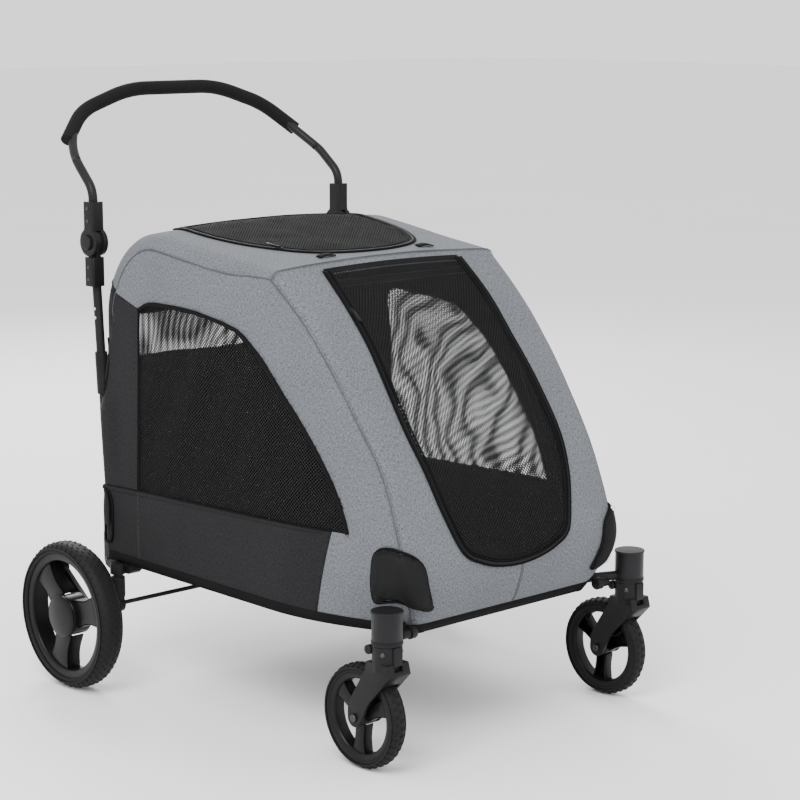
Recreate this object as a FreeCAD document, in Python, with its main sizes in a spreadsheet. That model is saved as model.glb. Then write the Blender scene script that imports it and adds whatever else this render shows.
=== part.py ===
import FreeCAD
import Part
import Sketcher
import math
import os
import re
from FreeCAD import Rotation, Vector

# Folding pet stroller, in millimetres. +Z is up, the floor is z = 0, the front is -Y.
# The origin is below the middle of its outline. Left is +X, as seen from the handle.
# Frame: a low rail with two caster posts in front and two struts with big wheels behind.
# Two hinged uprights carry the tilting handle. A fabric cabin stands on the rail.

SIZES = [
    # rear wheels and their axle
    ("rear_tyre_r", 130), ("rear_tyre_w", 46), ("rear_tyre_wall", 20.4), ("wheel_out", 100),
    ("axle_r", 4), ("axle_tip", 17), ("rear_tyre_round", 13), ("axle_ahead", 42),
    ("rear_rim_w", 37), ("rear_rim_wall", 12), ("rear_hub_r", 36), ("rear_hub_w", 42),
    ("rear_spoke_w", 44), ("rear_spoke_thick", 14), ("cap_r", 38), ("cap_thick", 8),
    # front casters
    ("front_tyre_r", 85), ("front_tyre_w", 30), ("front_tyre_wall", 16.5), ("front_tyre_round", 9),
    ("front_rim_w", 25), ("front_rim_wall", 8), ("front_hub_r", 15), ("front_hub_w", 31),
    ("front_spoke_w", 19), ("front_spoke_thick", 10), ("caster_trail", 52),
    ("caster_out", 6.5), ("caster_y", -440), ("post_r", 24.5), ("post_lift", 42), ("post_tall", 54),
    ("kingpin_r", 5), ("kingpin_len", 34), ("housing_r", 24), ("housing_high", 43),
    ("leg_side", 2.6), ("leg_thick", 5.4), ("fork_end_r", 15), ("bolt_r", 4), ("bolt_head_r", 6.5), ("bolt_head_thick", 3.5),
    ("tab_w", 17), ("tab_tall", 30), ("tab_thick", 4), ("tab_travel", 8),
    # base frame
    ("rail_r", 9), ("rail_wall", 1.5), ("rail_in", 15), ("rail_z", 216), ("rail_front_y", -402),
    ("rail_taper_y", -190), ("rail_mid_y", -334), ("rail_mid_in", 49), ("rail_corner_in", 93),
    ("bracket_down", 30), ("bracket_up", 17), ("bracket_long", 69), ("bracket_end", 12),
    ("bracket_wall", 3), ("cheek_up", 13), ("cheek_gap", 6.3), ("lug_wall", 5), ("arm_r", 8),
    ("strut_out", 6), ("strut_r", 9), ("strut_wall", 1.5), ("sleeve_wall", 3.5), ("sleeve_tall", 64),
    ("foot_down", 14), ("strut_plate", 6),
    ("floor_up", 10.5), ("floor_thick", 5), ("mat_thick", 8), ("floor_in", 28),
    # fold joint, uprights and handle
    ("fold_y", 315), ("fold_up", 29), ("handle_out", 9), ("handle_back", 2), ("handle_z", 774.5),
    ("tube_r", 8), ("tube_wall", 1.3), ("eye_r", 12), ("pin_r", 4), ("knuckle_up", 27), ("tube_up", 7),
    ("lock_wall", 3), ("fold_sleeve_low", 505), ("fold_sleeve_tall", 75), ("fold_travel", 18),
    ("socket_wall", 5.2), ("sleeve_down", 77), ("disc_r", 24), ("button_r", 12.5), ("button_out", 5),
    ("upper_tall", 71), ("foam_wall", 5), ("grip_up", 256.5), ("grip_back", 143),
    ("grip_corner_in", 75), ("grip_corner_down", 36), ("grip_start_down", 85.5),
    # brake pedals
    ("pedal_out", 65), ("pedal_thick", 9), ("pedal_hub_r", 15), ("pedal_reach", 105), ("pedal_end_r", 15),
    # fabric cabin
    ("cabin_half", 274), ("cloth", 2.5), ("hem_down", 10.5), ("cabin_behind", 8), ("wall_short", 15),
    ("panel_in", 30), ("back_top", 645), ("arc_y", 170), ("arc_r", 153), ("roof_front_y", -134),
    ("roof_front_z", 760), ("roof_gap", 2.375), ("seam_top_in", 25), ("seam_low_in", 41),
    ("front_low_y", -412), ("front_low_in", 87), ("slack", 0.4), ("door_half", 160), ("door_top_z", 748),
    ("door_low_z", 296), ("door_lap", 8), ("mesh", 1.6), ("hatch_half", 196), ("hatch_back_y", 196),
    ("hatch_front_y", -92), ("pad_thick", 9), ("pad_low", 262), ("pad_high", 362), ("bow_r", 6),
    ("bow_wall", 1.2), ("bow_low_in", 74), ("bow_top_in", 38), ("bow_y", -400), ("bow_z", 245),
    ("bow_eye_r", 8), ("bow_eye_w", 9), ("bow_top_y", -152), ("bow_top_z", 732), ("bow_bend", 62),
]

# sizes that follow from the ones above
TIED = {
    "rear_seat_r": "rear_tyre_r - rear_tyre_wall",
    "front_seat_r": "front_tyre_r - front_tyre_wall",
    "rear_axle_y": "fold_y - axle_ahead",
    "strut_x": "cabin_half + strut_out",
    "rear_track_half": "cabin_half + strut_out + wheel_out",
    "pedal_x": "cabin_half + strut_out + pedal_out",
    "caster_x": "cabin_half + caster_out",
    "post_low": "front_tyre_r * 2 + post_lift",
    "post_high": "front_tyre_r * 2 + post_lift + post_tall",
    "leg_gap": "front_tyre_w / 2 + leg_side",
    "rail_x": "cabin_half - rail_in",
    "rail_mid_x": "cabin_half - rail_mid_in",
    "rail_corner_x": "cabin_half - rail_corner_in",
    "bracket_low": "rail_z - bracket_down",
    "bracket_high": "rail_z + bracket_up",
    "bracket_front": "fold_y - bracket_long",
    "bracket_back": "fold_y + bracket_end",
    "bracket_half": "rail_r + bracket_wall",
    "fold_z": "rail_z + fold_up",
    "cheek_high": "rail_z + fold_up + cheek_up",
    "knuckle_top": "rail_z + fold_up + knuckle_up",
    "tube_start": "rail_z + fold_up + tube_up",
    "upright_low_x": "cabin_half - rail_in + 1",
    "handle_x": "cabin_half + handle_out",
    "handle_y": "fold_y + handle_back",
    "fold_sleeve_r": "tube_r + lock_wall",
    "fold_sleeve_high": "fold_sleeve_low + fold_sleeve_tall",
    "sleeve_half": "tube_r + socket_wall",
    "sleeve_low": "handle_z - sleeve_down",
    "upper_top": "handle_z + upper_tall",
    "grip_r": "tube_r + foam_wall",
    "grip_top_z": "handle_z + grip_up",
    "grip_top_y": "fold_y + handle_back + grip_back",
    "grip_corner_x": "cabin_half + handle_out - grip_corner_in",
    "grip_corner_z": "handle_z + grip_up - grip_corner_down",
    "grip_start_z": "handle_z + grip_up - grip_start_down",
    "sleeve_r": "strut_r + sleeve_wall",
    "foot_low": "rear_tyre_r - foot_down",
    "sleeve_high": "rear_tyre_r - foot_down + sleeve_tall",
    "floor_low": "rail_z + floor_up",
    "floor_half": "cabin_half - floor_in",
    "hem_z": "rail_z - hem_down",
    "cabin_back": "fold_y + cabin_behind",
    "wall_back": "fold_y - wall_short",
    "panel_half": "cabin_half - panel_in",
    "roof_half": ("cabin_half - rail_in + 1 + (back_top - rail_z - fold_up) * (handle_out + rail_in - 1)"
                  " / (handle_z - rail_z - fold_up) - tube_r - roof_gap"),
    "seam_top_half": "cabin_half - seam_top_in",
    "seam_low_half": "cabin_half - seam_low_in",
    "front_low_half": "cabin_half - front_low_in",
    "bow_low_half": "cabin_half - bow_low_in",
    "bow_top_half": "cabin_half - bow_top_in",
}

doc = FreeCAD.newDocument("PetStroller")
sheet = doc.addObject("Spreadsheet::Sheet", "Sizes")
for row, (alias, number) in enumerate(SIZES, 1):
    sheet.set(f"A{row}", alias.replace("_", " "))
    sheet.set(f"B{row}", str(number))
    sheet.setAlias(f"B{row}", alias)
doc.recompute()
NAMES = {alias for alias, _ in SIZES}
SIDES = (("left", 1), ("right", -1))
parts = []


def bound(text):
    """An expression on the sheet, from plain size names."""
    text = re.sub(r"[a-z][a-z_0-9]*", lambda m: f"({TIED[m[0]]})" if m[0] in TIED else m[0], str(text))
    return re.sub(r"[a-z][a-z_0-9]*", lambda m: "Sizes." + m[0] if m[0] in NAMES else m[0], text)


def number(text):
    """The value of such an expression, for shapes that are set from code."""
    return float(sheet.evalExpression(bound(text)))


def place(thing, x, y, z):
    for axis, text in zip("xyz", (x, y, z)):
        thing.setExpression(f"Placement.Base.{axis}", bound(text))


def box(x, y, z):
    """A box between low and high on each axis."""
    made = doc.addObject("Part::Box", "Block")
    for side, (low, high) in zip(("Length", "Width", "Height"), (x, y, z)):
        made.setExpression(side, bound(f"({high}) - ({low})"))
    place(made, x[0], y[0], z[0])
    return made


def span(side, low, high):
    """The range low to high on the left, mirrored on the right."""
    return (low, high) if side > 0 else (f"-({high})", f"-({low})")


TURNS = {
    "X": Rotation(Vector(0, 1, 0), 90),
    "Y": Rotation(Vector(1, 0, 0), -90),
    "Z": Rotation(),
}


def rod(axis, radius, start, end, first, second):
    """A cylinder along an axis from start to end; first and second are its other two coordinates."""
    made = doc.addObject("Part::Cylinder", "Round")
    made.Placement = FreeCAD.Placement(Vector(), TURNS[axis])
    made.setExpression("Radius", bound(radius))
    made.setExpression("Height", bound(f"({end}) - ({start})"))
    where = {"X": (start, first, second), "Y": (first, start, second), "Z": (first, second, start)}
    place(made, *where[axis])
    return made


def fuse(*pieces):
    made = doc.addObject("Part::MultiFuse", "Joined")
    made.Shapes = list(pieces)
    made.Refine = True
    return made


def cut(base, *tools):
    made = doc.addObject("Part::Cut", "Opened")
    made.Base = base
    made.Tool = tools[0] if len(tools) == 1 else fuse(*tools)
    return made


def common(first, second):
    made = doc.addObject("Part::Common", "Shared")
    made.Base = first
    made.Tool = second
    return made


def rounded(base, radius, pick):
    """Round the edges of a shape that pick chooses."""
    doc.recompute()
    made = doc.addObject("Part::Fillet", "Rounded")
    made.Base = base
    chosen = [i for i, e in enumerate(base.Shape.Edges, 1) if pick(e)]
    made.Edges = [(i, number(radius), number(radius)) for i in chosen]
    return made


def upright_edge(e):
    a, b = e.Vertexes[0].Point, e.Vertexes[-1].Point
    return math.hypot(a.x - b.x, a.y - b.y) < 1e-6


def closed_edge(e):
    return len(e.Vertexes) == 1 and e.Curve.TypeId == "Part::GeomCircle"


def plate(plane, points, start, thick):
    """A body padded from an outline: points are pairs of expressions in the plane's own two axes."""
    body = doc.addObject("PartDesign::Body", "Plate")
    sketch = body.newObject("Sketcher::SketchObject", "Outline")
    origin = next(o for o in body.Origin.OriginFeatures if o.Role == plane)
    sketch.AttachmentSupport = [(origin, "")]
    sketch.MapMode = "FlatFace"
    at = [Vector(number(a), number(b), 0) for a, b in points]
    count = len(at)
    for i in range(count):
        sketch.addGeometry(Part.LineSegment(at[i], at[(i + 1) % count]), False)
    for i in range(count):
        sketch.addConstraint(Sketcher.Constraint("Coincident", i, 2, (i + 1) % count, 1))
    for i, (a, b) in enumerate(points):
        for kind, text, value in (("DistanceX", a, at[i].x), ("DistanceY", b, at[i].y)):
            n = sketch.addConstraint(Sketcher.Constraint(kind, -1, 1, i, 1, value))
            sketch.setExpression(f"Constraints[{n}]", bound(text))
    sketch.setExpression("AttachmentOffset.Base.z", bound(start))
    pad = body.newObject("PartDesign::Pad", "Thickness")
    pad.Profile = sketch
    pad.setExpression("Length", bound(thick))
    return body


def across(points, low, high):
    """An outline in (y, z) that runs from x = low to high."""
    return plate("YZ_Plane", points, low, f"({high}) - ({low})")


def flat(points, low, high):
    """An outline in (x, y) that runs from z = low to high."""
    return plate("XY_Plane", points, low, f"({high}) - ({low})")


def facing(points, low, high):
    """An outline in (x, z) that runs from y = low to high."""
    return plate("XZ_Plane", points, f"-({high})", f"({high}) - ({low})")


def path(points, bends):
    """Straight runs through the points, joined by tangent arcs of the given radii."""
    corners = [Vector(*(number(c) for c in p)) for p in points]
    edges = []
    last = corners[0]
    for i in range(1, len(corners) - 1):
        before = (corners[i - 1] - corners[i]).normalize()
        after = (corners[i + 1] - corners[i]).normalize()
        half = before.getAngle(after) / 2
        reach = bends[i - 1] / math.tan(half)
        enter = corners[i] + before * reach
        leave = corners[i] + after * reach
        middle = (before + after).normalize()
        inside = corners[i] + middle * (bends[i - 1] / math.sin(half) - bends[i - 1])
        edges.append(Part.LineSegment(last, enter).toShape())
        edges.append(Part.Arc(enter, inside, leave).toShape())
        last = leave
    edges.append(Part.LineSegment(last, corners[-1]).toShape())
    return Part.Wire(edges)


def sweep(wire, radius):
    start = wire.Edges[0]
    heading = start.tangentAt(start.FirstParameter)
    ring = Part.Wire(Part.makeCircle(number(radius), start.valueAt(start.FirstParameter), heading))
    return wire.makePipeShell([ring], True, True)


def tube(points, bends, radius, wall=None):
    """A bent tube along a path in space; with no wall it is solid."""
    made = doc.addObject("Part::Feature", "Tube")
    wire = path(points, bends)
    shape = sweep(wire, radius)
    if wall:
        shape = shape.cut(sweep(wire, f"{radius} - {wall}"))
    made.Shape = shape
    return made


def mirrored(thing, side):
    """The thing itself on the left, its mirror image on the right."""
    if side > 0:
        return thing
    made = doc.addObject("Part::Mirroring", "Twin")
    made.Source = thing
    made.Normal = Vector(1, 0, 0)
    return made


def part(node, thing):
    thing.Label = node
    parts.append((node, thing))
    return thing


def turned(thing, degrees, y, z):
    """The thing turned about an axis along X through (y, z)."""
    made = doc.addObject("Part::Compound", "Turned")
    made.Links = [thing]
    middle = Vector(0, number(y), number(z))
    made.Placement = FreeCAD.Placement(Vector(), Rotation(Vector(1, 0, 0), degrees), middle)
    return made


# ---- wheels ----

def wheel(kind, label, side, middle_x, y, z, spoke_turn):
    """Tyre and three-spoke rim about an axis along X."""
    names = {k: f"{kind}_{k}" for k in
             ("tyre_r", "tyre_w", "seat_r", "tyre_round", "rim_w", "rim_wall", "hub_r", "hub_w",
              "spoke_w", "spoke_thick")}
    mid = f"({side} * ({middle_x}))"

    def disc(radius, width):
        return rod("X", radius, f"{mid} - ({width}) / 2", f"{mid} + ({width}) / 2", y, z)

    outer = rounded(disc(names["tyre_r"], names["tyre_w"]), names["tyre_round"], closed_edge)
    part(f"{kind}_tyre_{label}", cut(outer, disc(names["seat_r"], names["tyre_w"] + " + 2")))
    ring = cut(
        disc(f"{names['seat_r']} - slack / 2", names["rim_w"]),
        disc(f"{names['seat_r']} - {names['rim_wall']}", names["rim_w"] + " + 2"),
    )
    hub = disc(names["hub_r"], names["hub_w"])
    spokes = []
    for i in range(3):
        arm = box(
            (f"{mid} - {names['spoke_thick']} / 2", f"{mid} + {names['spoke_thick']} / 2"),
            (f"{y} - {names['spoke_w']} / 2", f"{y} + {names['spoke_w']} / 2"),
            (z, f"{z} + {names['seat_r']} - {names['rim_wall']} / 2"),
        )
        spokes.append(turned(arm, spoke_turn + 120 * i, y, z))
    bore = disc("axle_r + slack / 2" if kind == "rear" else "bolt_r + slack / 2", f"{names['hub_w']} + 4")
    part(f"{kind}_rim_{label}", cut(fuse(ring, hub, *spokes), bore))


for label, side in SIDES:
    wheel("rear", label, side, "rear_track_half", "rear_axle_y", "rear_tyre_r", -45)
    face = "rear_track_half + rear_hub_w / 2 + slack / 4"
    cap = rounded(
        rod("X", "cap_r", *span(side, face, f"{face} + cap_thick"), "rear_axle_y", "rear_tyre_r"),
        "cap_thick * 0.6",
        lambda e, side=side: closed_edge(e) and side * e.Curve.Center.x > number(face) + 1,
    )
    part(f"hub_cap_{label}", cap)
    wheel("front", label, side, "caster_x", "caster_y + caster_trail", "front_tyre_r", -55)

part("rear_axle", rod("X", "axle_r", "-(rear_track_half + axle_tip)", "rear_track_half + axle_tip",
                      "rear_axle_y", "rear_tyre_r"))

# ---- front casters ----
for label, side in SIDES:
    x = f"({side} * caster_x)"
    wheel_y = "caster_y + caster_trail"
    top = "post_low - slack"
    # a flat-capped post with the kingpin below it
    body = rod("Z", "post_r", "post_low", "post_high", x, "caster_y")
    lip = rounded(rod("Z", "post_r + 1.2", "post_high - 4", "post_high", x, "caster_y"), 1.2, closed_edge)
    pin = rod("Z", "kingpin_r", "post_low - kingpin_len", "post_low + 5", x, "caster_y")
    part(f"caster_post_{label}", fuse(body, lip, pin))
    # swivel housing with a wheel well between two raked legs
    housing = rounded(rod("Z", "housing_r", f"{top} - housing_high", top, x, "caster_y"), 2, closed_edge)
    half = "leg_gap + leg_thick"
    leg = across(
        [
            ("caster_y - housing_r", f"{top} - housing_high + 16"),
            ("caster_y - housing_r - 5", f"{top} - housing_high - 2"),
            (f"{wheel_y} - 32", "front_tyre_r + 30"),
            (f"{wheel_y} - fork_end_r", "front_tyre_r - 3"),
            (f"{wheel_y} + fork_end_r", "front_tyre_r + 2"),
            (f"{wheel_y} + fork_end_r - 1", "front_tyre_r + 22"),
            ("caster_y + housing_r + 3", f"{top} - housing_high"),
            ("caster_y + housing_r - 1", f"{top} - housing_high + 16"),
        ],
        f"{x} - ({half})",
        f"{x} + ({half})",
    )
    end = rod("X", "fork_end_r", f"{x} - ({half})", f"{x} + ({half})", wheel_y, "front_tyre_r")
    well = rod("X", "front_tyre_r + 3.5", f"{x} - leg_gap", f"{x} + leg_gap", wheel_y, "front_tyre_r")
    low_well = box(
        (f"{x} - leg_gap", f"{x} + leg_gap"),
        (f"{wheel_y} - 40", f"{wheel_y} + 40"),
        ("front_tyre_r - 30", "front_tyre_r + 20"),
    )
    bore = rod("Z", "kingpin_r + slack / 2", "post_low - kingpin_len - 20", "post_low + 1", x, "caster_y")
    axle_bore = rod("X", "bolt_r + slack / 4", f"{x} - 40", f"{x} + 40", wheel_y, "front_tyre_r")
    slot = box(
        (f"{x} - tab_w / 2 - slack", f"{x} + tab_w / 2 + slack"),
        ("caster_y - housing_r - 8", "caster_y - housing_r + tab_thick + slack"),
        (f"{top} - tab_tall - tab_travel - 1", f"{top} + 1"),
    )
    part(f"caster_fork_{label}", cut(fuse(housing, leg, end), well, low_well, bore, axle_bore, slot))
    shank = rod("X", "bolt_r", f"{x} - ({half})", f"{x} + ({half})", wheel_y, "front_tyre_r")
    heads = [
        rounded(rod("X", "bolt_head_r", low, high, wheel_y, "front_tyre_r"), 1.5, closed_edge)
        for low, high in (
            (f"{x} - ({half}) - bolt_head_thick", f"{x} - ({half}) - slack / 4"),
            (f"{x} + ({half}) + slack / 4", f"{x} + ({half}) + bolt_head_thick"),
        )
    ]
    ends = rod("X", "bolt_r", f"{x} - ({half}) - 2", f"{x} + ({half}) + 2", wheel_y, "front_tyre_r")
    part(f"caster_bolt_{label}", fuse(shank, ends, *heads))
    # the swivel lock: a flat tab that slides down in the front of the housing
    part(
        f"swivel_lock_{label}",
        box(
            (f"{x} - tab_w / 2", f"{x} + tab_w / 2"),
            ("caster_y - housing_r - 2", "caster_y - housing_r + tab_thick"),
            (f"{top} - tab_tall", f"{top} - slack"),
        ),
    )

# ---- base frame ----
rail_points = [
    ("rail_x", "fold_y - 2", "rail_z"),
    ("rail_x", "rail_taper_y", "rail_z"),
    ("rail_mid_x", "rail_mid_y", "rail_z"),
    ("rail_corner_x", "rail_front_y", "rail_z"),
    ("-rail_corner_x", "rail_front_y", "rail_z"),
    ("-rail_mid_x", "rail_mid_y", "rail_z"),
    ("-rail_x", "rail_taper_y", "rail_z"),
    ("-rail_x", "fold_y - 2", "rail_z"),
]
rail_bends = [120, 90, 40, 40, 90, 120]
cross_y = "bracket_front - rail_r - 6"
cross = rod("X", "rail_r - 1", "-(rail_x - rail_r + 1)", "rail_x - rail_r + 1", cross_y, "rail_z")
cross_hollow = rod("X", "rail_r - 1 - rail_wall", "-(rail_x - rail_r - 2)", "rail_x - rail_r - 2",
                   cross_y, "rail_z")
part("base_rail", fuse(tube(rail_points, rail_bends, "rail_r", "rail_wall"), cut(cross, cross_hollow)))
for label, side in SIDES:
    # rear bracket: a block on the rail's end, with two cheeks round the fold joint
    mid = f"({side} * rail_x)"
    outline = [
        ("bracket_front", "bracket_low + 6"), ("bracket_front + 8", "bracket_low"),
        ("bracket_back - 14", "bracket_low"), ("bracket_back - 4", "bracket_low + 5"),
        ("bracket_back", "bracket_low + 15"), ("bracket_back", "fold_z + 4"),
        ("fold_y + 5", "cheek_high - 0.5"), ("fold_y - 5", "cheek_high - 0.5"),
        ("fold_y - eye_r", "fold_z + 4"), ("fold_y - eye_r", "bracket_high"),
        ("bracket_front", "bracket_high"),
    ]
    block = across(outline, f"{mid} - bracket_half", f"{mid} + bracket_half")
    eye_x = f"({side} * (upright_low_x + 0.5))"
    gap = box((f"{eye_x} - cheek_gap", f"{eye_x} + cheek_gap"),
              ("fold_y - eye_r - 2", "bracket_back + 2"), ("fold_z - eye_r - 1", "cheek_high + 2"))
    bore = rod("Y", "rail_r + slack / 2", "bracket_front - 1", "fold_y - 1", mid, "rail_z")
    socket = rod("Z", "strut_r + slack / 2", "bracket_low - 1", "hem_z - 3", f"({side} * strut_x)",
                 "rear_axle_y")
    lug = rod("Z", "strut_r + lug_wall", "bracket_low", "hem_z - 1", f"({side} * strut_x)", "rear_axle_y")
    pin = rod("X", "pin_r", f"{eye_x} - cheek_gap - 3", f"{eye_x} + cheek_gap + 3", "fold_y", "fold_z")
    block_cut = cut(fuse(block, lug), gap, bore, socket)
    part(f"rear_bracket_{label}", fuse(block_cut, pin))
    # strut from the bracket down to the axle, in a sleeve with a flat foot
    x = f"({side} * strut_x)"
    strut = rod("Z", "strut_r", "foot_low + 30", "hem_z - 3.5", x, "rear_axle_y")
    hollow = rod("Z", "strut_r - strut_wall", "foot_low + 29", "hem_z + 1", x, "rear_axle_y")
    part(f"rear_strut_{label}", cut(strut, hollow))
    sleeve = rounded(rod("Z", "sleeve_r", "foot_low + 28", "sleeve_high", x, "rear_axle_y"), 1, closed_edge)
    foot = rod("X", "rear_tyre_r - foot_low", f"{x} - strut_plate", f"{x} + strut_plate",
               "rear_axle_y", "rear_tyre_r")
    web = box((f"{x} - strut_plate", f"{x} + strut_plate"), ("rear_axle_y - 11", "rear_axle_y + 11"),
              ("rear_tyre_r", "foot_low + 34"))
    strut_bore = rod("Z", "strut_r + slack / 4", "foot_low + 29.8", "sleeve_high + 1", x, "rear_axle_y")
    axle_bore = rod("X", "axle_r + slack / 4", f"{x} - 20", f"{x} + 20", "rear_axle_y", "rear_tyre_r")
    part(f"strut_foot_{label}", cut(fuse(sleeve, foot, web), strut_bore, axle_bore))
    # arm from the front rail to the caster post
    arm = mirrored(tube([("rail_corner_x + 8", "rail_front_y + 16", "rail_z + 3"),
                         ("caster_x - 6", "caster_y + 2", "rail_z + 7")], [], "arm_r"), side)
    wall = rod("Z", "post_r + slack / 4", "post_low - 1", "post_high + 1", f"({side} * caster_x)", "caster_y")
    rail_room = doc.addObject("Part::Feature", "RailRoom")
    rail_room.Shape = sweep(path(rail_points, rail_bends), "rail_r + slack / 4")
    part(f"front_arm_{label}", cut(arm, wall, rail_room))

# ---- floor ----
floor_outline = [
    ("floor_half", "bracket_front - 6"), ("-floor_half", "bracket_front - 6"),
    ("-floor_half", "rail_taper_y + 10"), ("-(rail_mid_x - 4)", "rail_mid_y + 16"),
    ("-(rail_corner_x - 8)", "rail_front_y + 22"), ("rail_corner_x - 8", "rail_front_y + 22"),
    ("rail_mid_x - 4", "rail_mid_y + 16"), ("floor_half", "rail_taper_y + 10"),
]
part("floor_board", flat(floor_outline, "floor_low", "floor_low + floor_thick"))
mat_outline = [(f"({a}) * 0.97", f"({b}) * 0.97 - 2") for a, b in floor_outline]
mat_low = "floor_low + floor_thick + slack / 4"
part("floor_mat", flat(mat_outline, mat_low, f"{mat_low} + mat_thick"))

# ---- fold joint, uprights and handle ----
lean = "(handle_x - upright_low_x) / (handle_z - fold_z)"


def on_upright(z):
    """The point on the left upright's middle line at a height."""
    share = f"({z} - fold_z) / (handle_z - fold_z)"
    return (f"upright_low_x + ({z} - fold_z) * {lean}", f"fold_y + {share} * (handle_y - fold_y)", z)


def along_upright(low, high, radius, wall=None):
    return tube([on_upright(low), on_upright(high)], [], radius, wall)


for label, side in SIDES:
    x = f"({side} * (upright_low_x + 0.5))"
    eye = rod("X", "eye_r", f"{x} - cheek_gap + slack", f"{x} + cheek_gap - slack", "fold_y", "fold_z")
    pin_bore = rod("X", "pin_r + slack / 2", f"{x} - 20", f"{x} + 20", "fold_y", "fold_z")
    collar = rounded(rod("Z", "fold_sleeve_r", "cheek_high + 1", "knuckle_top + 22", x, "fold_y"), 1.5,
                     closed_edge)
    stem = box((f"{x} - cheek_gap + slack", f"{x} + cheek_gap - slack"), ("fold_y - 7", "fold_y + 7"),
               ("fold_z", "cheek_high + 4"))
    tube_room = mirrored(along_upright("tube_start + 14", "sleeve_low", "tube_r + slack / 4"), side)
    part(f"fold_knuckle_{label}", cut(fuse(eye, collar, stem), pin_bore, tube_room))
    upright = along_upright("tube_start + 15", "handle_z - disc_r - 6", "tube_r", "tube_wall")
    part(f"upright_tube_{label}", mirrored(upright, side))
    # sliding lock sleeve on the upright
    lock = mirrored(along_upright("fold_sleeve_low", "fold_sleeve_high", "fold_sleeve_r"), side)
    room = mirrored(along_upright("fold_sleeve_low - 5", "fold_sleeve_high + 5", "tube_r + slack"), side)
    part(f"fold_lock_{label}", cut(lock, room))
    # lower half of the handle hinge, a flat-sided sleeve on the upright's top
    hx = f"({side} * handle_x)"
    wide = (f"{hx} - sleeve_half", f"{hx} + sleeve_half")
    deep = ("handle_y - sleeve_half", "handle_y + sleeve_half")
    sleeve = rounded(box(wide, deep, ("sleeve_low", "handle_z - disc_r - 2")), 5, upright_edge)
    tongue = box((f"{hx} - sleeve_half / 3", f"{hx} + sleeve_half / 3"),
                 deep, ("handle_z - disc_r - 14", "handle_z"))
    knuckle = rod("X", "disc_r - 3", f"{hx} - sleeve_half / 3", f"{hx} + sleeve_half / 3", "handle_y",
                  "handle_z")
    room = mirrored(along_upright("sleeve_low - 20", "handle_z - disc_r - 5", "tube_r + slack"), side)
    axle = rod("X", "button_r + slack", f"{hx} - 30", f"{hx} + 30", "handle_y", "handle_z")
    part(f"hinge_sleeve_{label}", cut(fuse(sleeve, tongue, knuckle), room, axle))
    # upper half: two discs either side of the tongue and the handle's socket
    discs = rod("X", "disc_r", f"{hx} - sleeve_half", f"{hx} + sleeve_half", "handle_y", "handle_z")
    socket = rounded(box(wide, deep, ("handle_z + disc_r - 8", "upper_top")), 4, upright_edge)
    neck = box(wide, ("handle_y - sleeve_half + 2", "handle_y + sleeve_half - 2"),
               ("handle_z", "handle_z + disc_r"))
    slot = rod("X", "disc_r + slack", f"{hx} - sleeve_half / 3 - slack", f"{hx} + sleeve_half / 3 + slack",
               "handle_y", "handle_z")
    tube_hole = rod("Z", "tube_r + slack / 4", "handle_z + disc_r + 3", "upper_top + 1", hx, "handle_y")
    part(f"handle_knuckle_{label}", cut(fuse(discs, socket, neck), slot, tube_hole, axle))
    # release button, a round cap on the pivot's outer face with a stem through the joint
    face = "handle_x + sleeve_half"
    stem = rod("X", "button_r", *span(side, "handle_x - sleeve_half + 2", f"{face} + button_out - 2"),
               "handle_y", "handle_z")
    head = rounded(
        rod("X", "button_r", *span(side, f"{face} - 3", f"{face} + button_out"), "handle_y", "handle_z"),
        2, lambda e, side=side: closed_edge(e) and side * e.Curve.Center.x > number(face) + 1)
    part(f"handle_button_{label}", fuse(stem, head))

grip_run = [
    ("handle_x - 20", "grip_top_y - 40", "grip_start_z"),
    ("grip_corner_x", "grip_top_y - 6.5", "grip_corner_z"),
    ("grip_corner_x * 0.48", "grip_top_y", "grip_top_z"),
]
legs = [
    ("handle_x", "handle_y", "handle_z + disc_r + 4"),
    ("handle_x", "handle_y", "upper_top + 20"),
    ("handle_x - 4", "handle_y + 48", "upper_top + 62"),
] + grip_run
whole = legs + [(f"-({a})", b, c) for a, b, c in reversed(legs)]
bends = [40, 90, 200, 110, 250]
part("handle_tube", tube(whole, bends + bends[::-1], "tube_r", "tube_wall"))
foam_path = grip_run + [(f"-({a})", b, c) for a, b, c in reversed(grip_run)]
foam = tube(foam_path, [110, 250, 250, 110], "grip_r")
foam_core = doc.addObject("Part::Feature", "GripCore")
foam_core.Shape = sweep(path(whole, bends + bends[::-1]), "tube_r + slack / 2")
part("foam_grip", cut(foam, foam_core))

# ---- brake pedals, clipped on the axle beside the struts ----
for label, side in SIDES:
    reach = "(pedal_reach * 0.79)"
    rise = "(pedal_reach * 0.61)"
    lever = across(
        [
            ("rear_axle_y - pedal_hub_r * 0.4", "rear_tyre_r + pedal_hub_r * 0.8"),
            ("rear_axle_y + pedal_hub_r * 0.6", "rear_tyre_r - pedal_hub_r * 0.6"),
            (f"rear_axle_y + {reach} + 5", f"rear_tyre_r + {rise} - 10"),
            (f"rear_axle_y + {reach} - 5", f"rear_tyre_r + {rise} + 10"),
        ],
        *span(side, "pedal_x - pedal_thick / 2", "pedal_x + pedal_thick / 2"),
    )
    hub = rod("X", "pedal_hub_r", *span(side, "pedal_x - pedal_thick / 2 - 2", "pedal_x + pedal_thick / 2"),
              "rear_axle_y", "rear_tyre_r")
    toe = rounded(
        rod("X", "pedal_end_r", *span(side, "pedal_x - pedal_thick", "pedal_x + pedal_thick / 2"),
            f"rear_axle_y + {reach}", f"rear_tyre_r + {rise}"), 2, closed_edge)
    bore = rod("X", "axle_r + slack / 2", *span(side, "pedal_x - 30", "pedal_x + 30"), "rear_axle_y",
               "rear_tyre_r")
    part(f"brake_pedal_{label}", cut(fuse(lever, hub, toe), bore))

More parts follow.
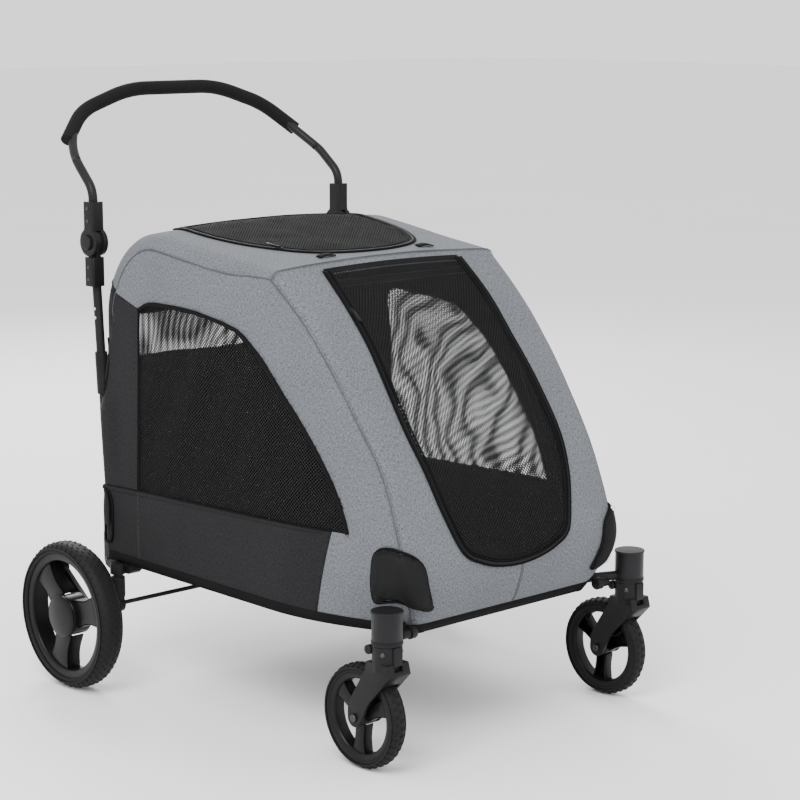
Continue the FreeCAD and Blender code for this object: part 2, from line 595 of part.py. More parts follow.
# ---- front bow, the hoop that holds the front of the cabin ----
bow = [
    ("bow_low_half", "bow_y", "bow_z"),
    ("bow_top_half", "bow_top_y", "bow_top_z"),
    ("-bow_top_half", "bow_top_y", "bow_top_z"),
    ("-bow_low_half", "bow_y", "bow_z"),
]
hoop = tube(bow, [number("bow_bend")] * 2, "bow_r", "bow_wall")
eyes = [
    rod("X", "bow_eye_r", f"{x} - bow_eye_w / 2", f"{x} + bow_eye_w / 2", "bow_y", "bow_z")
    for x in ("bow_low_half", "-(bow_low_half)")
]
holes = [
    rod("X", "bow_r / 3", f"{x} - 20", f"{x} + 20", "bow_y", "bow_z")
    for x in ("bow_low_half", "-(bow_low_half)")
]
part("front_bow", cut(fuse(hoop, *eyes), *holes))

# ---- fabric cabin ----
front_line = [
    ("roof_front_y", "roof_front_z"), ("-217", "688"), ("-284", "610"), ("-343", "530"), ("-393", "455"),
    ("-432", "355"), ("-445", "303"), ("front_low_y", "hem_z"),
]
back_arc = [(f"arc_y + arc_r * cos({a})", f"back_top + arc_r * sin({a})") for a in range(0, 85, 12)]
side_outline = (
    [("wall_back", "hem_z"), ("wall_back", "back_top + 82")]
    + [p for a, p in zip(range(0, 85, 12), back_arc) if a > 30]
    + front_line
)
window = [
    ("215", "344"), ("201", "666"), ("164", "679"), ("68", "679"), ("-7", "671"), ("-62", "659"),
    ("-92", "642"), ("-127", "616"), ("-167", "576"), ("-212", "530"), ("-257", "477"),
    ("-290", "430"), ("-312", "389"), ("-323", "361"),
]


# the side wall's outer face seen from above, (x, y) at rising heights
levels = [
    ("hem_z - 1", [("cabin_half", -200), ("cabin_half - 24", -293), ("cabin_half - 38", -337),
                   ("front_low_half - 7", -430)]),
    ("303", [("cabin_half", -190), ("cabin_half - 14", -290), ("cabin_half - 26", -380),
             ("seam_low_half - 4", -460)]),
    ("455", [("cabin_half", -130), ("cabin_half - 12", -240), ("cabin_half - 26", -330),
             ("seam_low_half - 4", -410)]),
    ("610", [("cabin_half", -60), ("cabin_half - 9", -140), ("cabin_half - 20", -220),
             ("seam_low_half + 4", -305)]),
    ("roof_front_z", [("cabin_half - 2", 100), ("cabin_half - 6", 20), ("cabin_half - 14", -60),
                      ("seam_top_half - 3", -160)]),
    ("back_top + arc_r + 30", [("cabin_half - 4", 150), ("cabin_half - 7", 60), ("cabin_half - 15", -20),
                               ("seam_top_half - 3", -120)]),
]


def wall(side, outer, inner):
    """The side wall between two distances in from its outer face."""
    rings = []
    for height, line in levels:
        line = [("cabin_half", "wall_back")] + line
        z = number(height)
        face = [(number(x), number(y)) for x, y in line]
        ring = [Vector(side * (x - outer), y, z) for x, y in face]
        ring += [Vector(side * (x - inner), y, z) for x, y in reversed(face)]
        rings.append(ring + ring[:1])
    faces = [Part.Face(Part.makePolygon(ring)) for ring in (rings[0], rings[-1])]
    for low, high in zip(rings, rings[1:]):
        outer_count = len(low) // 2
        for i in range(len(low) - 1):
            # the inner face runs the other way, and its flats are split along the same lines
            a, b = (i, i + 1) if i < outer_count else (i + 1, i)
            for corners in ((low[a], low[b], high[b]), (low[a], high[b], high[a])):
                faces.append(Part.Face(Part.makePolygon(corners + corners[:1])))
    shell = Part.makeShell(faces)
    shell.sewShape()
    made = doc.addObject("Part::Feature", "Wall")
    made.Shape = Part.makeSolid(shell)
    return made


cloth = number("cloth")
slack = number("slack")
mesh = number("mesh")
for label, side in SIDES:
    sides = span(side, "150", "cabin_half + 5")
    # the arm to the caster post comes out through a notch in the hem
    notch = box(span(side, "150", "cabin_half"), ("caster_y - 20", "rail_front_y + 32"),
                ("hem_z - 2", "rail_z + arm_r + 10"))
    sheet_wall = common(wall(side, 0, cloth), across(side_outline, *sides))
    part(f"side_panel_{label}", cut(sheet_wall, across(window, *sides), notch))
    lap = [(f"({a}) * 1.02 - 1", f"({b}) + {d}") for (a, b), d in
           zip(window, (-6, 6, 6, 6, 6, 6, 5, 5, 4, 4, 3, 2, 0, -6))]
    net = common(wall(side, cloth + slack, cloth + slack + mesh), across(lap, *sides))
    part(f"side_window_{label}", net)

part("rear_panel", box(("-panel_half", "panel_half"), ("cabin_back - cloth", "cabin_back"),
                       ("hem_z", "back_top - slack")))


def band(line, first, second, low, high):
    """A band that follows a line in (y, z) between two distances to its right, from x = low to high."""
    pts = [Vector(number(a), number(b), 0) for a, b in line]

    def offset(by):
        moved = []
        for i, p in enumerate(pts):
            before = pts[max(i - 1, 0)]
            after = pts[min(i + 1, len(pts) - 1)]
            along = (after - before).normalize()
            moved.append(p + Vector(along.y, -along.x, 0) * by)
        return moved

    ring = offset(first) + offset(second)[::-1]
    return across([(round(p.x, 3), round(p.y, 3)) for p in ring], low, high)


# both lines run so that the inside of the cabin is on their right
roof_walk = (back_arc + [("roof_front_y", "roof_front_z")])[::-1]
front_walk = front_line[::-1]
roof_plan = [
    ("roof_half", "cabin_back + 5"), ("roof_half", 100), ("roof_half - 4", 20), ("roof_half - 11", -60),
    ("seam_top_half - cloth - 1", "roof_front_y - 4"),
]
roof_plan = roof_plan + [(f"-({a})", b) for a, b in reversed(roof_plan)]
hatch_outline = [("hatch_half", "hatch_back_y"), ("-hatch_half", "hatch_back_y")]
for a in range(10, 180, 20):
    hatch_outline.append((f"-hatch_half * 1.04 * cos({a})",
                          f"hatch_back_y - 110 - (hatch_back_y - 110 - hatch_front_y) * sin({a})"))
hatch_hole = [(f"({a}) * 0.96", f"({b}) * 0.96 - 2") for a, b in hatch_outline]
over = ("back_top", "back_top + arc_r + 40")
roof = common(band(roof_walk, 0, cloth, "-roof_half", "roof_half"), flat(roof_plan, *over))
part("roof_panel", cut(roof, flat(hatch_hole, *over)))
lid = band(roof_walk, -slack - mesh, -slack, "-roof_half", "roof_half")
part("roof_hatch", common(lid, flat(hatch_outline, *over)))

fit = "cloth - slack - 1.5"
front_shape = [
    (f"seam_top_half - {fit}", "roof_front_z - cloth - 1"), (f"seam_top_half - 5 - {fit}", 688),
    (f"seam_low_half + 7 - {fit}", 610), (f"seam_low_half + 2 - {fit}", 530),
    (f"seam_low_half - 1 - {fit}", 455),
    (f"seam_low_half - {fit}", 303), (f"front_low_half - {fit}", "hem_z"),
]
front_shape = front_shape + [(f"-({a})", b) for a, b in reversed(front_shape)]
door_outline = [
    ("door_half - 6", "door_top_z"), ("door_half", "door_top_z - 60"), ("door_half - 2", 440),
    ("door_half - 10", 380), ("door_half - 32", "door_low_z + 38"), ("door_half - 68", "door_low_z + 12"),
    ("door_half - 112", "door_low_z"),
]
door_outline = door_outline + [(f"-({a})", b) for a, b in reversed(door_outline)]
door_hole = [(f"({a}) * (1 - door_lap / door_half)", f"522 + (({b}) - 522) * (1 - door_lap / door_half)")
             for a, b in door_outline]
before = ("-500", "0")
front = common(band(front_walk, 0, cloth, "-cabin_half", "cabin_half"), facing(front_shape, *before))
part("front_panel", cut(front, facing(door_hole, *before)))
flap = band(front_walk, -slack - mesh, -slack, "-cabin_half", "cabin_half")
part("front_door", common(flap, facing(door_outline, *before)))

# stuffed guards over the frame's corners
for label, side in SIDES:
    guard = [("-300", "pad_low"), ("-296", "pad_high - 20"), ("-316", "pad_high"), ("-452", "pad_high"),
             ("-452", "pad_low")]
    beside = common(wall(side, -slack - number("pad_thick"), -slack),
                    across(guard, *span(side, "150", "cabin_half + 20")))
    around = common(
        band(front_walk, -slack - number("pad_thick"), -slack, *span(side, "seam_low_half - 46", "seam_low_half + 4")),
        box(span(side, "150", "cabin_half"), ("-480", "-300"), ("pad_low", "pad_high - 20")))
    part(f"front_pad_{label}", fuse(beside, around))
    rear_pad = [
        ("cabin_half + slack", "286"), ("cabin_half + slack + pad_thick", "286"),
        ("cabin_half + slack + pad_thick", "326"), ("cabin_half + 2", "334"), ("cabin_half - 40", "334"),
        ("cabin_half - 40", "329"), ("cabin_half - 4", "329"), ("cabin_half + slack", "324"),
    ]
    outline = [(f"{side} * ({a})", b) for a, b in rear_pad]
    part(f"rear_pad_{label}", flat(outline, "262", "338"))

# ---- test and write ----
doc.recompute()
for thing in doc.Objects:
    assert "Invalid" not in thing.State and "Error" not in thing.State, (thing.Name, thing.Label, thing.State)
os.makedirs("parts", exist_ok=True)
for node, thing in parts:
    shape = thing.Shape
    assert not shape.isNull() and shape.isValid() and shape.Volume > 1, node
    assert len(shape.Solids) == 1, (node, len(shape.Solids))
for node, thing in parts:
    thing.Shape.exportStep(f"parts/{node}.step")
print(len(parts), "parts")
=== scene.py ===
import bpy
import bmesh
import math
from mathutils import Matrix, Vector, noise


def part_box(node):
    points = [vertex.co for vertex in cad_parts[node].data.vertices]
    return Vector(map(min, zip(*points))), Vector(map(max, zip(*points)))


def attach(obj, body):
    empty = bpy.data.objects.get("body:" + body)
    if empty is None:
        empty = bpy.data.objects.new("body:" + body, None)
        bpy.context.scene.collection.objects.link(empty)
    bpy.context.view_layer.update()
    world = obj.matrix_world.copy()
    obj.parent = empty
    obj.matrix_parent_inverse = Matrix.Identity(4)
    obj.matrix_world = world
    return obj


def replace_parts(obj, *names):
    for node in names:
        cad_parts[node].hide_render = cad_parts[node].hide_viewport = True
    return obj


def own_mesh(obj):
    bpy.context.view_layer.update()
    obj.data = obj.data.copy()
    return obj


# A folding pet stroller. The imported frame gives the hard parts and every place; the fabric cabin,
# wheels, foam grip and small fittings are modelled here. Lengths are millimetres until a piece is placed.

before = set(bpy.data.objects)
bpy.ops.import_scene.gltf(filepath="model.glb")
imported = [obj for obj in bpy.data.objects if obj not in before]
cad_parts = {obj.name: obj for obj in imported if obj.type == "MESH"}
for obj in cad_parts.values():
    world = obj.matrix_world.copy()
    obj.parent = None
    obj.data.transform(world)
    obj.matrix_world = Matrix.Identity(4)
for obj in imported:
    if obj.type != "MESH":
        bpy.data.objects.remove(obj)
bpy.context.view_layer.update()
SIDES = (("left", 1), ("right", -1))
MM = 0.001


def corners(node):
    """Lowest and highest corner of a CAD node, in millimetres."""
    low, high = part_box(node)
    return Vector(low) / MM, Vector(high) / MM


def middle(node):
    low, high = corners(node)
    return (low + high) / 2


# ---- shader groups ----

def new_group(name, inputs, outputs):
    """A node group with float inputs and outputs; gives the tree, its input node and its output node."""
    tree = bpy.data.node_groups.new(name, "ShaderNodeTree")
    for label, value in inputs:
        tree.interface.new_socket(label, in_out="INPUT", socket_type="NodeSocketFloat").default_value = value
    for label in outputs:
        tree.interface.new_socket(label, in_out="OUTPUT", socket_type="NodeSocketFloat")
    return tree, tree.nodes.new("NodeGroupInput"), tree.nodes.new("NodeGroupOutput")


def maths(tree, operation, first, second=0.0, third=None):
    node = tree.nodes.new("ShaderNodeMath")
    node.operation = operation
    for slot, value in zip(node.inputs, (first, second, third)):
        if isinstance(value, bpy.types.NodeSocket):
            tree.links.new(value, slot)
        elif value is not None:
            slot.default_value = value
    return node.outputs[0]


def pattern(tree, coords, scale, detail=3.0, rough=0.55, stretch=(1, 1, 1), turn=0.0):
    """Noise on Object or UV coordinates, from 0 to 1."""
    where = tree.nodes.new("ShaderNodeTexCoord")
    mapping = tree.nodes.new("ShaderNodeMapping")
    mapping.inputs["Scale"].default_value = stretch
    mapping.inputs["Rotation"].default_value = (0, 0, turn)
    grain = tree.nodes.new("ShaderNodeTexNoise")
    grain.inputs["Detail"].default_value = detail
    grain.inputs["Roughness"].default_value = rough
    tree.links.new(where.outputs[coords], mapping.inputs["Vector"])
    tree.links.new(mapping.outputs["Vector"], grain.inputs["Vector"])
    if isinstance(scale, bpy.types.NodeSocket):
        tree.links.new(scale, grain.inputs["Scale"])
    else:
        grain.inputs["Scale"].default_value = scale
    return grain.outputs["Fac"]


def stripes(tree, pitch, direction, turn=0.0):
    """A soft 0 to 1 wave along one UV direction, with its pitch in millimetres."""
    where = tree.nodes.new("ShaderNodeTexCoord")
    mapping = tree.nodes.new("ShaderNodeMapping")
    mapping.inputs["Rotation"].default_value = (0, 0, turn)
    wave = tree.nodes.new("ShaderNodeTexWave")
    wave.bands_direction = direction
    tree.links.new(where.outputs["UV"], mapping.inputs["Vector"])
    tree.links.new(mapping.outputs["Vector"], wave.inputs["Vector"])
    # one band of a wave texture is 2 pi / 20 wide at scale 1
    tree.links.new(maths(tree, "DIVIDE", math.pi / 10 / MM, pitch), wave.inputs["Scale"])
    return wave.outputs["Fac"]


def build_weave():
    """Crossed yarns: Height for bump, Fleck for the melange of light and dark fibres."""
    tree, given, made = new_group("Weave", [("Pitch mm", 1.4), ("Fleck scale", 420.0)],
                                  ["Height", "Fleck", "Drift"])
    warp = stripes(tree, given.outputs["Pitch mm"], "X")
    weft = stripes(tree, given.outputs["Pitch mm"], "Y")
    tree.links.new(maths(tree, "MAXIMUM", warp, weft), made.inputs["Height"])
    along = pattern(tree, "UV", given.outputs["Fleck scale"], stretch=(0.35, 1, 1))
    up = pattern(tree, "UV", given.outputs["Fleck scale"], stretch=(1, 0.3, 1))
    both = maths(tree, "MULTIPLY", maths(tree, "ADD", along, up), 0.5)
    tree.links.new(both, made.inputs["Fleck"])
    tree.links.new(pattern(tree, "UV", 9.0, detail=2.0), made.inputs["Drift"])
    return tree


def build_grain():
    """Moulded or sprayed surface: fine Height, blotchy Shade and sparse Scuff marks."""
    tree, given, made = new_group("Surface grain", [("Grain scale", 900.0), ("Scuff amount", 0.5)],
                                  ["Height", "Shade", "Scuff"])
    tree.links.new(pattern(tree, "Object", given.outputs["Grain scale"]), made.inputs["Height"])
    tree.links.new(pattern(tree, "Object", 14.0, detail=4.0), made.inputs["Shade"])
    streak = pattern(tree, "Object", 60.0, detail=6.0, rough=0.7, stretch=(1, 1, 0.3))
    sharp = maths(tree, "MULTIPLY", maths(tree, "SUBTRACT", streak, 0.62), 9.0)
    sharp = maths(tree, "MINIMUM", maths(tree, "MAXIMUM", sharp, 0.0), 1.0)
    tree.links.new(maths(tree, "MULTIPLY", sharp, given.outputs["Scuff amount"]), made.inputs["Scuff"])
    return tree


def build_net():
    """Knitted net: Thread is 1 on yarn and 0 in the holes."""
    tree, given, made = new_group("Net", [("Pitch mm", 3.4), ("Hole", 0.4)], ["Thread", "Height"])
    where = tree.nodes.new("ShaderNodeTexCoord")
    mapping = tree.nodes.new("ShaderNodeMapping")
    mapping.inputs["Rotation"].default_value = (0, 0, math.radians(45))
    cells = tree.nodes.new("ShaderNodeTexVoronoi")
    cells.voronoi_dimensions = "2D"
    cells.inputs["Randomness"].default_value = 0.0
    tree.links.new(where.outputs["UV"], mapping.inputs["Vector"])
    tree.links.new(mapping.outputs["Vector"], cells.inputs["Vector"])
    tree.links.new(maths(tree, "DIVIDE", 1 / MM, given.outputs["Pitch mm"]), cells.inputs["Scale"])
    edge = maths(tree, "SUBTRACT", cells.outputs["Distance"], given.outputs["Hole"])
    thread = maths(tree, "MULTIPLY", edge, 14.0)
    thread = maths(tree, "MINIMUM", maths(tree, "MAXIMUM", thread, 0.0), 1.0)
    tree.links.new(thread, made.inputs["Thread"])
    tree.links.new(cells.outputs["Distance"], made.inputs["Height"])
    return tree


WEAVE = build_weave()
GRAIN = build_grain()
NET = build_net()


# ---- materials ----

def new_material(name, shine=0.3, **sockets):
    material = bpy.data.materials.new(name)
    material.use_nodes = True
    tree = material.node_tree
    shader = tree.nodes["Principled BSDF"]
    shader.inputs["Specular IOR Level"].default_value = shine
    for label, value in sockets.items():
        shader.inputs[label.replace("_", " ").title()].default_value = value
    return material, tree, shader


def placed(tree, group, **values):
    node = tree.nodes.new("ShaderNodeGroup")
    node.node_tree = group
    for label, value in values.items():
        node.inputs[label.replace("_", " ").capitalize().replace(" mm", " mm")].default_value = value
    return node


def ramp(tree, factor, stops):
    node = tree.nodes.new("ShaderNodeValToRGB")
    while len(node.color_ramp.elements) < len(stops):
        node.color_ramp.elements.new(0.5)
    for element, (place, colour) in zip(node.color_ramp.elements, stops):
        element.position = place
        element.color = (*colour, 1)
    tree.links.new(factor, node.inputs["Fac"])
    return node.outputs["Color"]


def bump(tree, shader, height, depth, strength=0.6):
    node = tree.nodes.new("ShaderNodeBump")
    node.inputs["Distance"].default_value = depth * MM
    node.inputs["Strength"].default_value = strength
    tree.links.new(height, node.inputs["Height"])
    tree.links.new(node.outputs["Normal"], shader.inputs["Normal"])


def spread(tree, value, low, high):
    """A 0 to 1 value mapped onto low to high."""
    node = tree.nodes.new("ShaderNodeMapRange")
    node.inputs["To Min"].default_value = low
    node.inputs["To Max"].default_value = high
    tree.links.new(value, node.inputs["Value"])
    return node.outputs["Result"]


def woven(name, dark, light, pitch, fleck, sheen=0.15, depth=0.25):
    material, tree, shader = new_material(name, 0.06, sheen_weight=sheen, sheen_roughness=0.6)
    weave = placed(tree, WEAVE, pitch_mm=pitch, fleck_scale=fleck)
    mid = tuple((a + b) / 2 for a, b in zip(dark, light))
    cloth = ramp(tree, weave.outputs["Fleck"], ((0.36, dark), (0.5, mid), (0.64, light)))
    shade = tree.nodes.new("ShaderNodeMix")
    shade.data_type = "RGBA"
    shade.blend_type = "MULTIPLY"
    shade.inputs["Factor"].default_value = 1.0
    tree.links.new(cloth, shade.inputs["A"])
    tree.links.new(ramp(tree, weave.outputs["Drift"], ((0.3, (0.9, 0.9, 0.9)), (0.7, (1, 1, 1)))),
                   shade.inputs["B"])
    tree.links.new(shade.outputs["Result"], shader.inputs["Base Color"])
    tree.links.new(spread(tree, weave.outputs["Fleck"], 0.95, 0.75), shader.inputs["Roughness"])
    bump(tree, shader, weave.outputs["Height"], depth)
    return material


def moulded(name, colour, rough, grain=900.0, scuffs=0.4, depth=0.05, metallic=0.0, coat=0.0, shine=0.12):
    """Plastic, paint or metal with a fine grain, blotches and light scuffs."""
    material, tree, shader = new_material(name, shine, metallic=metallic, coat_weight=coat,
                                          coat_roughness=0.25)
    grained = placed(tree, GRAIN, grain_scale=grain, scuff_amount=scuffs)
    bright = tuple(min(1.0, c * 1.35 + 0.001) for c in colour)
    base = ramp(tree, grained.outputs["Shade"], ((0.3, colour), (0.75, bright)))
    mark = tree.nodes.new("ShaderNodeMix")
    mark.data_type = "RGBA"
    tree.links.new(grained.outputs["Scuff"], mark.inputs["Factor"])
    tree.links.new(base, mark.inputs["A"])
    mark.inputs["B"].default_value = (*(c + 0.012 for c in colour), 1)
    tree.links.new(mark.outputs["Result"], shader.inputs["Base Color"])
    tree.links.new(spread(tree, grained.outputs["Shade"], rough - 0.06, rough + 0.08),
                   shader.inputs["Roughness"])
    bump(tree, shader, grained.outputs["Height"], depth)
    return material


def netted(name, colour, pitch, hole, sheen):
    material, tree, shader = new_material(name, 0.02, roughness=0.7, sheen_weight=sheen)
    net = placed(tree, NET, pitch_mm=pitch, hole=hole)
    tree.links.new(net.outputs["Thread"], shader.inputs["Alpha"])
    fine = ramp(tree, net.outputs["Height"], ((0.4, colour), (0.7, tuple(c * 1.8 for c in colour))))
    tree.links.new(fine, shader.inputs["Base Color"])
    bump(tree, shader, net.outputs["Height"], 0.3)
    return material


GREY = woven("grey melange cloth", (0.052, 0.056, 0.064), (0.185, 0.195, 0.212), 1.4, 700, 0.05)
BLACK = woven("black cloth", (0.006, 0.006, 0.0065), (0.019, 0.019, 0.021), 1.2, 620, 0.03)
TAPE = moulded("black binding", (0.005, 0.005, 0.0053), 0.8, 900, 0.1, 0.25, shine=0.06)
MESH = netted("black net", (0.011, 0.011, 0.0115), 4.4, 0.31, 0.01)
PAINT = moulded("dark grey paint", (0.008, 0.008, 0.009), 0.4, 1400, 0.3, 0.02, coat=0.06)
PLASTIC = moulded("moulded black plastic", (0.007, 0.007, 0.0075), 0.42, 1100, 0.3, 0.05)
GLOSSY = moulded("glossy rim plastic", (0.004, 0.004, 0.0043), 0.34, 500, 0.3, 0.02, coat=0.04, shine=0.12)
RUBBER = moulded("tyre rubber", (0.007, 0.007, 0.0072), 0.6, 700, 0.5, 0.15)
STEEL = moulded("zinc plated steel", (0.5, 0.5, 0.5), 0.3, 1500, 0.4, 0.02, metallic=1.0)
BOLT = moulded("blackened screws", (0.05, 0.05, 0.052), 0.35, 1500, 0.3, 0.02, metallic=1.0)
SEAM = moulded("grey seam cord", (0.06, 0.065, 0.074), 0.85, 900, 0.1, 0.2, shine=0.05)
FOAM = moulded("black foam", (0.006, 0.006, 0.0062), 0.88, 1300, 0.15, 0.35)
BOARD = moulded("black floor board", (0.006, 0.006, 0.006), 0.7, 300, 0.3, 0.1)
QUILT = moulded("stuffed black cloth", (0.007, 0.007, 0.0075), 0.62, 1500, 0.2, 0.25, shine=0.08)


# ---- making pieces ----

HEM = 205.5


def put(mesh, name, material, body, soft=False):
    """Place a finished mesh, in millimetres, as a piece that rides on a body."""
    mesh.transform(Matrix.Scale(MM, 4))
    piece = bpy.data.objects.new(name, mesh)
    bpy.context.scene.collection.objects.link(piece)
    for one in material if isinstance(material, tuple) else (material,):
        mesh.materials.append(one)
    mesh.shade_smooth()
    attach(piece, body)
    if soft:
        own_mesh(piece)
    return piece


def from_bmesh(bm, name, material, body, soft=False, sharp=35):
    mesh = bpy.data.meshes.new(name)
    bm.to_mesh(mesh)
    bm.free()
    piece = put(mesh, name, material, body, soft)
    if sharp:
        mesh.set_sharp_from_angle(angle=math.radians(sharp))
    return piece


def solid(bm):
    bmesh.ops.remove_doubles(bm, verts=bm.verts, dist=1e-4)
    bmesh.ops.recalc_face_normals(bm, faces=bm.faces)


def ring_of(bm, points):
    """A closed loop of edges through the points."""
    verts = [bm.verts.new(p) for p in points]
    return [bm.edges.new((verts[i - 1], verts[i])) for i in range(len(verts))]


def spun(bm, profile, centre, steps=96, axis=(1, 0, 0)):
    """Turn a closed (along, radius) profile about an axis through centre."""
    axis = Vector(axis)
    out = Vector((0, 0, 1)) if abs(axis.z) < 0.5 else Vector((0, 1, 0))
    edges = ring_of(bm, [centre + axis * a + out * r for a, r in profile])
    loop = edges + list({v for e in edges for v in e.verts})
    bmesh.ops.spin(bm, geom=loop, cent=centre, axis=axis, angle=math.tau, steps=steps, use_merge=True)


def block(bm, size, matrix):
    """A small box, placed by a matrix; gives its vertices."""
    made = bmesh.ops.create_cube(bm, size=1.0, matrix=matrix @ Matrix.Diagonal((*size, 1)))
    return made["verts"]


def softened(bm, width, segments=2, angle=30):
    edges = [e for e in bm.edges if e.is_manifold and e.calc_face_angle(0) > math.radians(angle)]
    bmesh.ops.bevel(bm, geom=edges, offset=width, affect="EDGES", segments=segments, profile=0.5,
                    material=-1, clamp_overlap=True)


def rounded_path(points, radii, step=8.0):
    """Points along straight runs joined by arcs of the given radii."""
    points = [Vector(p) for p in points]
    path = [points[0]]
    for i, radius in enumerate(radii, 1):
        before = (points[i - 1] - points[i]).normalized()
        after = (points[i + 1] - points[i]).normalized()
        half = before.angle(after) / 2
        toward = (before + after).normalized()
        centre = points[i] + toward * radius / math.sin(half)
        start = points[i] + before * radius / math.tan(half)
        normal = (start - centre).cross(points[i] + after * radius / math.tan(half) - centre).normalized()
        sweep_angle = math.pi - 2 * half
        count = max(2, int(radius * sweep_angle / step))
        for k in range(count + 1):
            turn = Matrix.Rotation(sweep_angle * k / count, 3, normal)
            path.append(centre + turn @ (start - centre))
    path.append(points[-1])
    return path


def tube(path, radius, name, material, body, soft=False, closed=False, sides=10):
    """A round tube or piping along points, made from a bevelled curve."""
    curve = bpy.data.curves.new(name + "_line", "CURVE")
    curve.dimensions = "3D"
    curve.bevel_depth = radius
    curve.bevel_resolution = max(1, sides // 4)
    curve.use_fill_caps = True
    spline = curve.splines.new("POLY")
    spline.points.add(len(path) - 1)
    for point, place in zip(spline.points, path):
        point.co = (*place, 1)
    spline.use_cyclic_u = closed
    holder = bpy.data.objects.new(name + "_line", curve)
    bpy.context.scene.collection.objects.link(holder)
    bpy.context.view_layer.update()
    mesh = bpy.data.meshes.new_from_object(holder.evaluated_get(bpy.context.evaluated_depsgraph_get()))
    bpy.data.objects.remove(holder)
    mesh.name = name
    mesh.materials.clear()
    return put(mesh, name, material, body, soft)


# ---- curves in the plane of a cloth panel ----

def curve_through(points, step=8.0, closed=False):
    """A smooth line through points."""
    pts = [Vector(p) for p in points]
    count = len(pts)
    line = []
    for i in range(count if closed else count - 1):
        a, b = pts[i], pts[(i + 1) % count]
        before = pts[i - 1] if closed or i > 0 else a - (b - a)
        after = pts[(i + 2) % count] if closed or i + 2 < count else b + (b - a)
        steps = max(1, round((b - a).length / step))
        for k in range(steps):
            t = k / steps
            line.append(0.5 * (2 * a + (b - before) * t + (2 * before - 5 * a + 4 * b - after) * t * t
                               + (3 * a - before - 3 * b + after) * t ** 3))
    return line if closed else line + [pts[-1]]


def straight(a, b, step=8.0):
    a, b = Vector(a), Vector(b)
    steps = max(1, round((b - a).length / step))
    return [a.lerp(b, k / steps) for k in range(steps + 1)]


def moved_off(line, by, closed=False):
    """The line shifted sideways in its own plane, to its left."""
    shifted = []
    count = len(line)
    for i, p in enumerate(line):
        before = line[i - 1] if closed or i > 0 else p
        after = line[(i + 1) % count] if closed or i + 1 < count else p
        along = (after - before).normalized()
        shifted.append(p + Vector((-along.y, along.x)) * by)
    return shifted


def smooth_step(x):
    x = min(1.0, max(0.0, x))
    return x * x * (3 - 2 * x)


def reading(table, at):
    """A smooth value between the (place, value) pairs of a table that rises."""
    if at <= table[0][0]:
        return table[0][1]
    if at >= table[-1][0]:
        return table[-1][1]
    i = next(k for k in range(len(table) - 1) if at <= table[k + 1][0])

    def slope(k):
        low, high = max(k - 1, 0), min(k + 1, len(table) - 1)
        return (table[high][1] - table[low][1]) / (table[high][0] - table[low][0])

    (x0, y0), (x1, y1) = table[i], table[i + 1]
    gap = x1 - x0
    t = (at - x0) / gap
    return ((2 * t ** 3 - 3 * t * t + 1) * y0 + (t ** 3 - 2 * t * t + t) * gap * slope(i)
            + (3 * t * t - 2 * t ** 3) * y1 + (t ** 3 - t * t) * gap * slope(i + 1))


# ---- the cabin's surfaces ----

BACK_Y, BACK_TOP = 323.0, 645.0
ARC_Y, ARC_R, ARC_END = 170.0, 153.0, math.radians(96)
ROOF_FRONT = Vector((-134.0, 760.0))
FRONT_Y = ((205.5, -412), (240, -433), (303, -445), (355, -432), (455, -393), (530, -343), (610, -284),
           (688, -217), (760, -134))
SIDE_BEND_START = ((205.5, -150), (303, -150), (455, -90), (610, -20), (760, 130), (830, 180))
SIDE_BEND = ((205.5, 11.5e-4), (250, 7.2e-4), (303, 4.7e-4), (455, 4.4e-4), (610, 4.5e-4), (760, 3.4e-4))
SIDE_HALF = ((205.5, 274), (640, 274), (760, 272), (830, 270))
WALL_LONG = BACK_TOP - HEM
ARC_LONG = ARC_R * ARC_END
ROOF_START = Vector((ARC_Y + ARC_R * math.cos(ARC_END), BACK_TOP + ARC_R * math.sin(ARC_END)))
ROOF_LONG = (ROOF_FRONT - ROOF_START).length
COVER_LONG = WALL_LONG + ARC_LONG + ROOF_LONG
LEAF_LOW, LEAF_HIGH = 497.0, 604.0


def ripple(a, b, size, seed=0.0):
    return noise.noise(Vector((a / size, b / size, seed)))


TUBE_LEAN = (middle("handle_knuckle_left").x - 260) / (774.5 - 245)


def side_half(y, z):
    """Half the cabin's width at a place on its side."""
    bent = max(0.0, reading(SIDE_BEND_START, z) - y)
    half = reading(SIDE_HALF, z) - reading(SIDE_BEND, z) * bent * bent
    pocket = smooth_step((y - 262) / 36) * (1 - smooth_step((z - 478) / 36))
    half += pocket * max(0.0, 260 + (z - 245) * TUBE_LEAN + 11 - half)
    quiet = smooth_step((z - HEM) / 60) * smooth_step((BACK_Y - y) / 60)
    return half + quiet * (1.6 * ripple(y, z, 120) + 0.7 * ripple(y, z, 45, 5.0))


def spine(s):
    """The cabin's middle line over its back and roof: place and outward direction in (y, z)."""
    if s <= WALL_LONG:
        return Vector((BACK_Y, HEM + s)), Vector((1, 0))
    s -= WALL_LONG
    if s <= ARC_LONG:
        out = Vector((math.cos(s / ARC_R), math.sin(s / ARC_R)))
        return Vector((ARC_Y, BACK_TOP)) + out * ARC_R, out
    along = (ROOF_FRONT - ROOF_START).normalized()
    return ROOF_START + along * (s - ARC_LONG), Vector((along.y, -along.x))


def corner_radius(s):
    """How softly the cover turns down into the sides."""
    z = HEM + s
    if z < BACK_TOP:
        return 12 + 33 * smooth_step((z - 488) / 110)
    return 45 - 19 * smooth_step((s - WALL_LONG - 60) / 200) - 12 * smooth_step((s - COVER_LONG + 120) / 120)


def cover_edge(s):
    """Distance along the cover from its middle line to its seam with the side."""
    place, _ = spine(s)
    radius = corner_radius(s)
    return side_half(*place) + radius * (math.pi / 2 - 1)


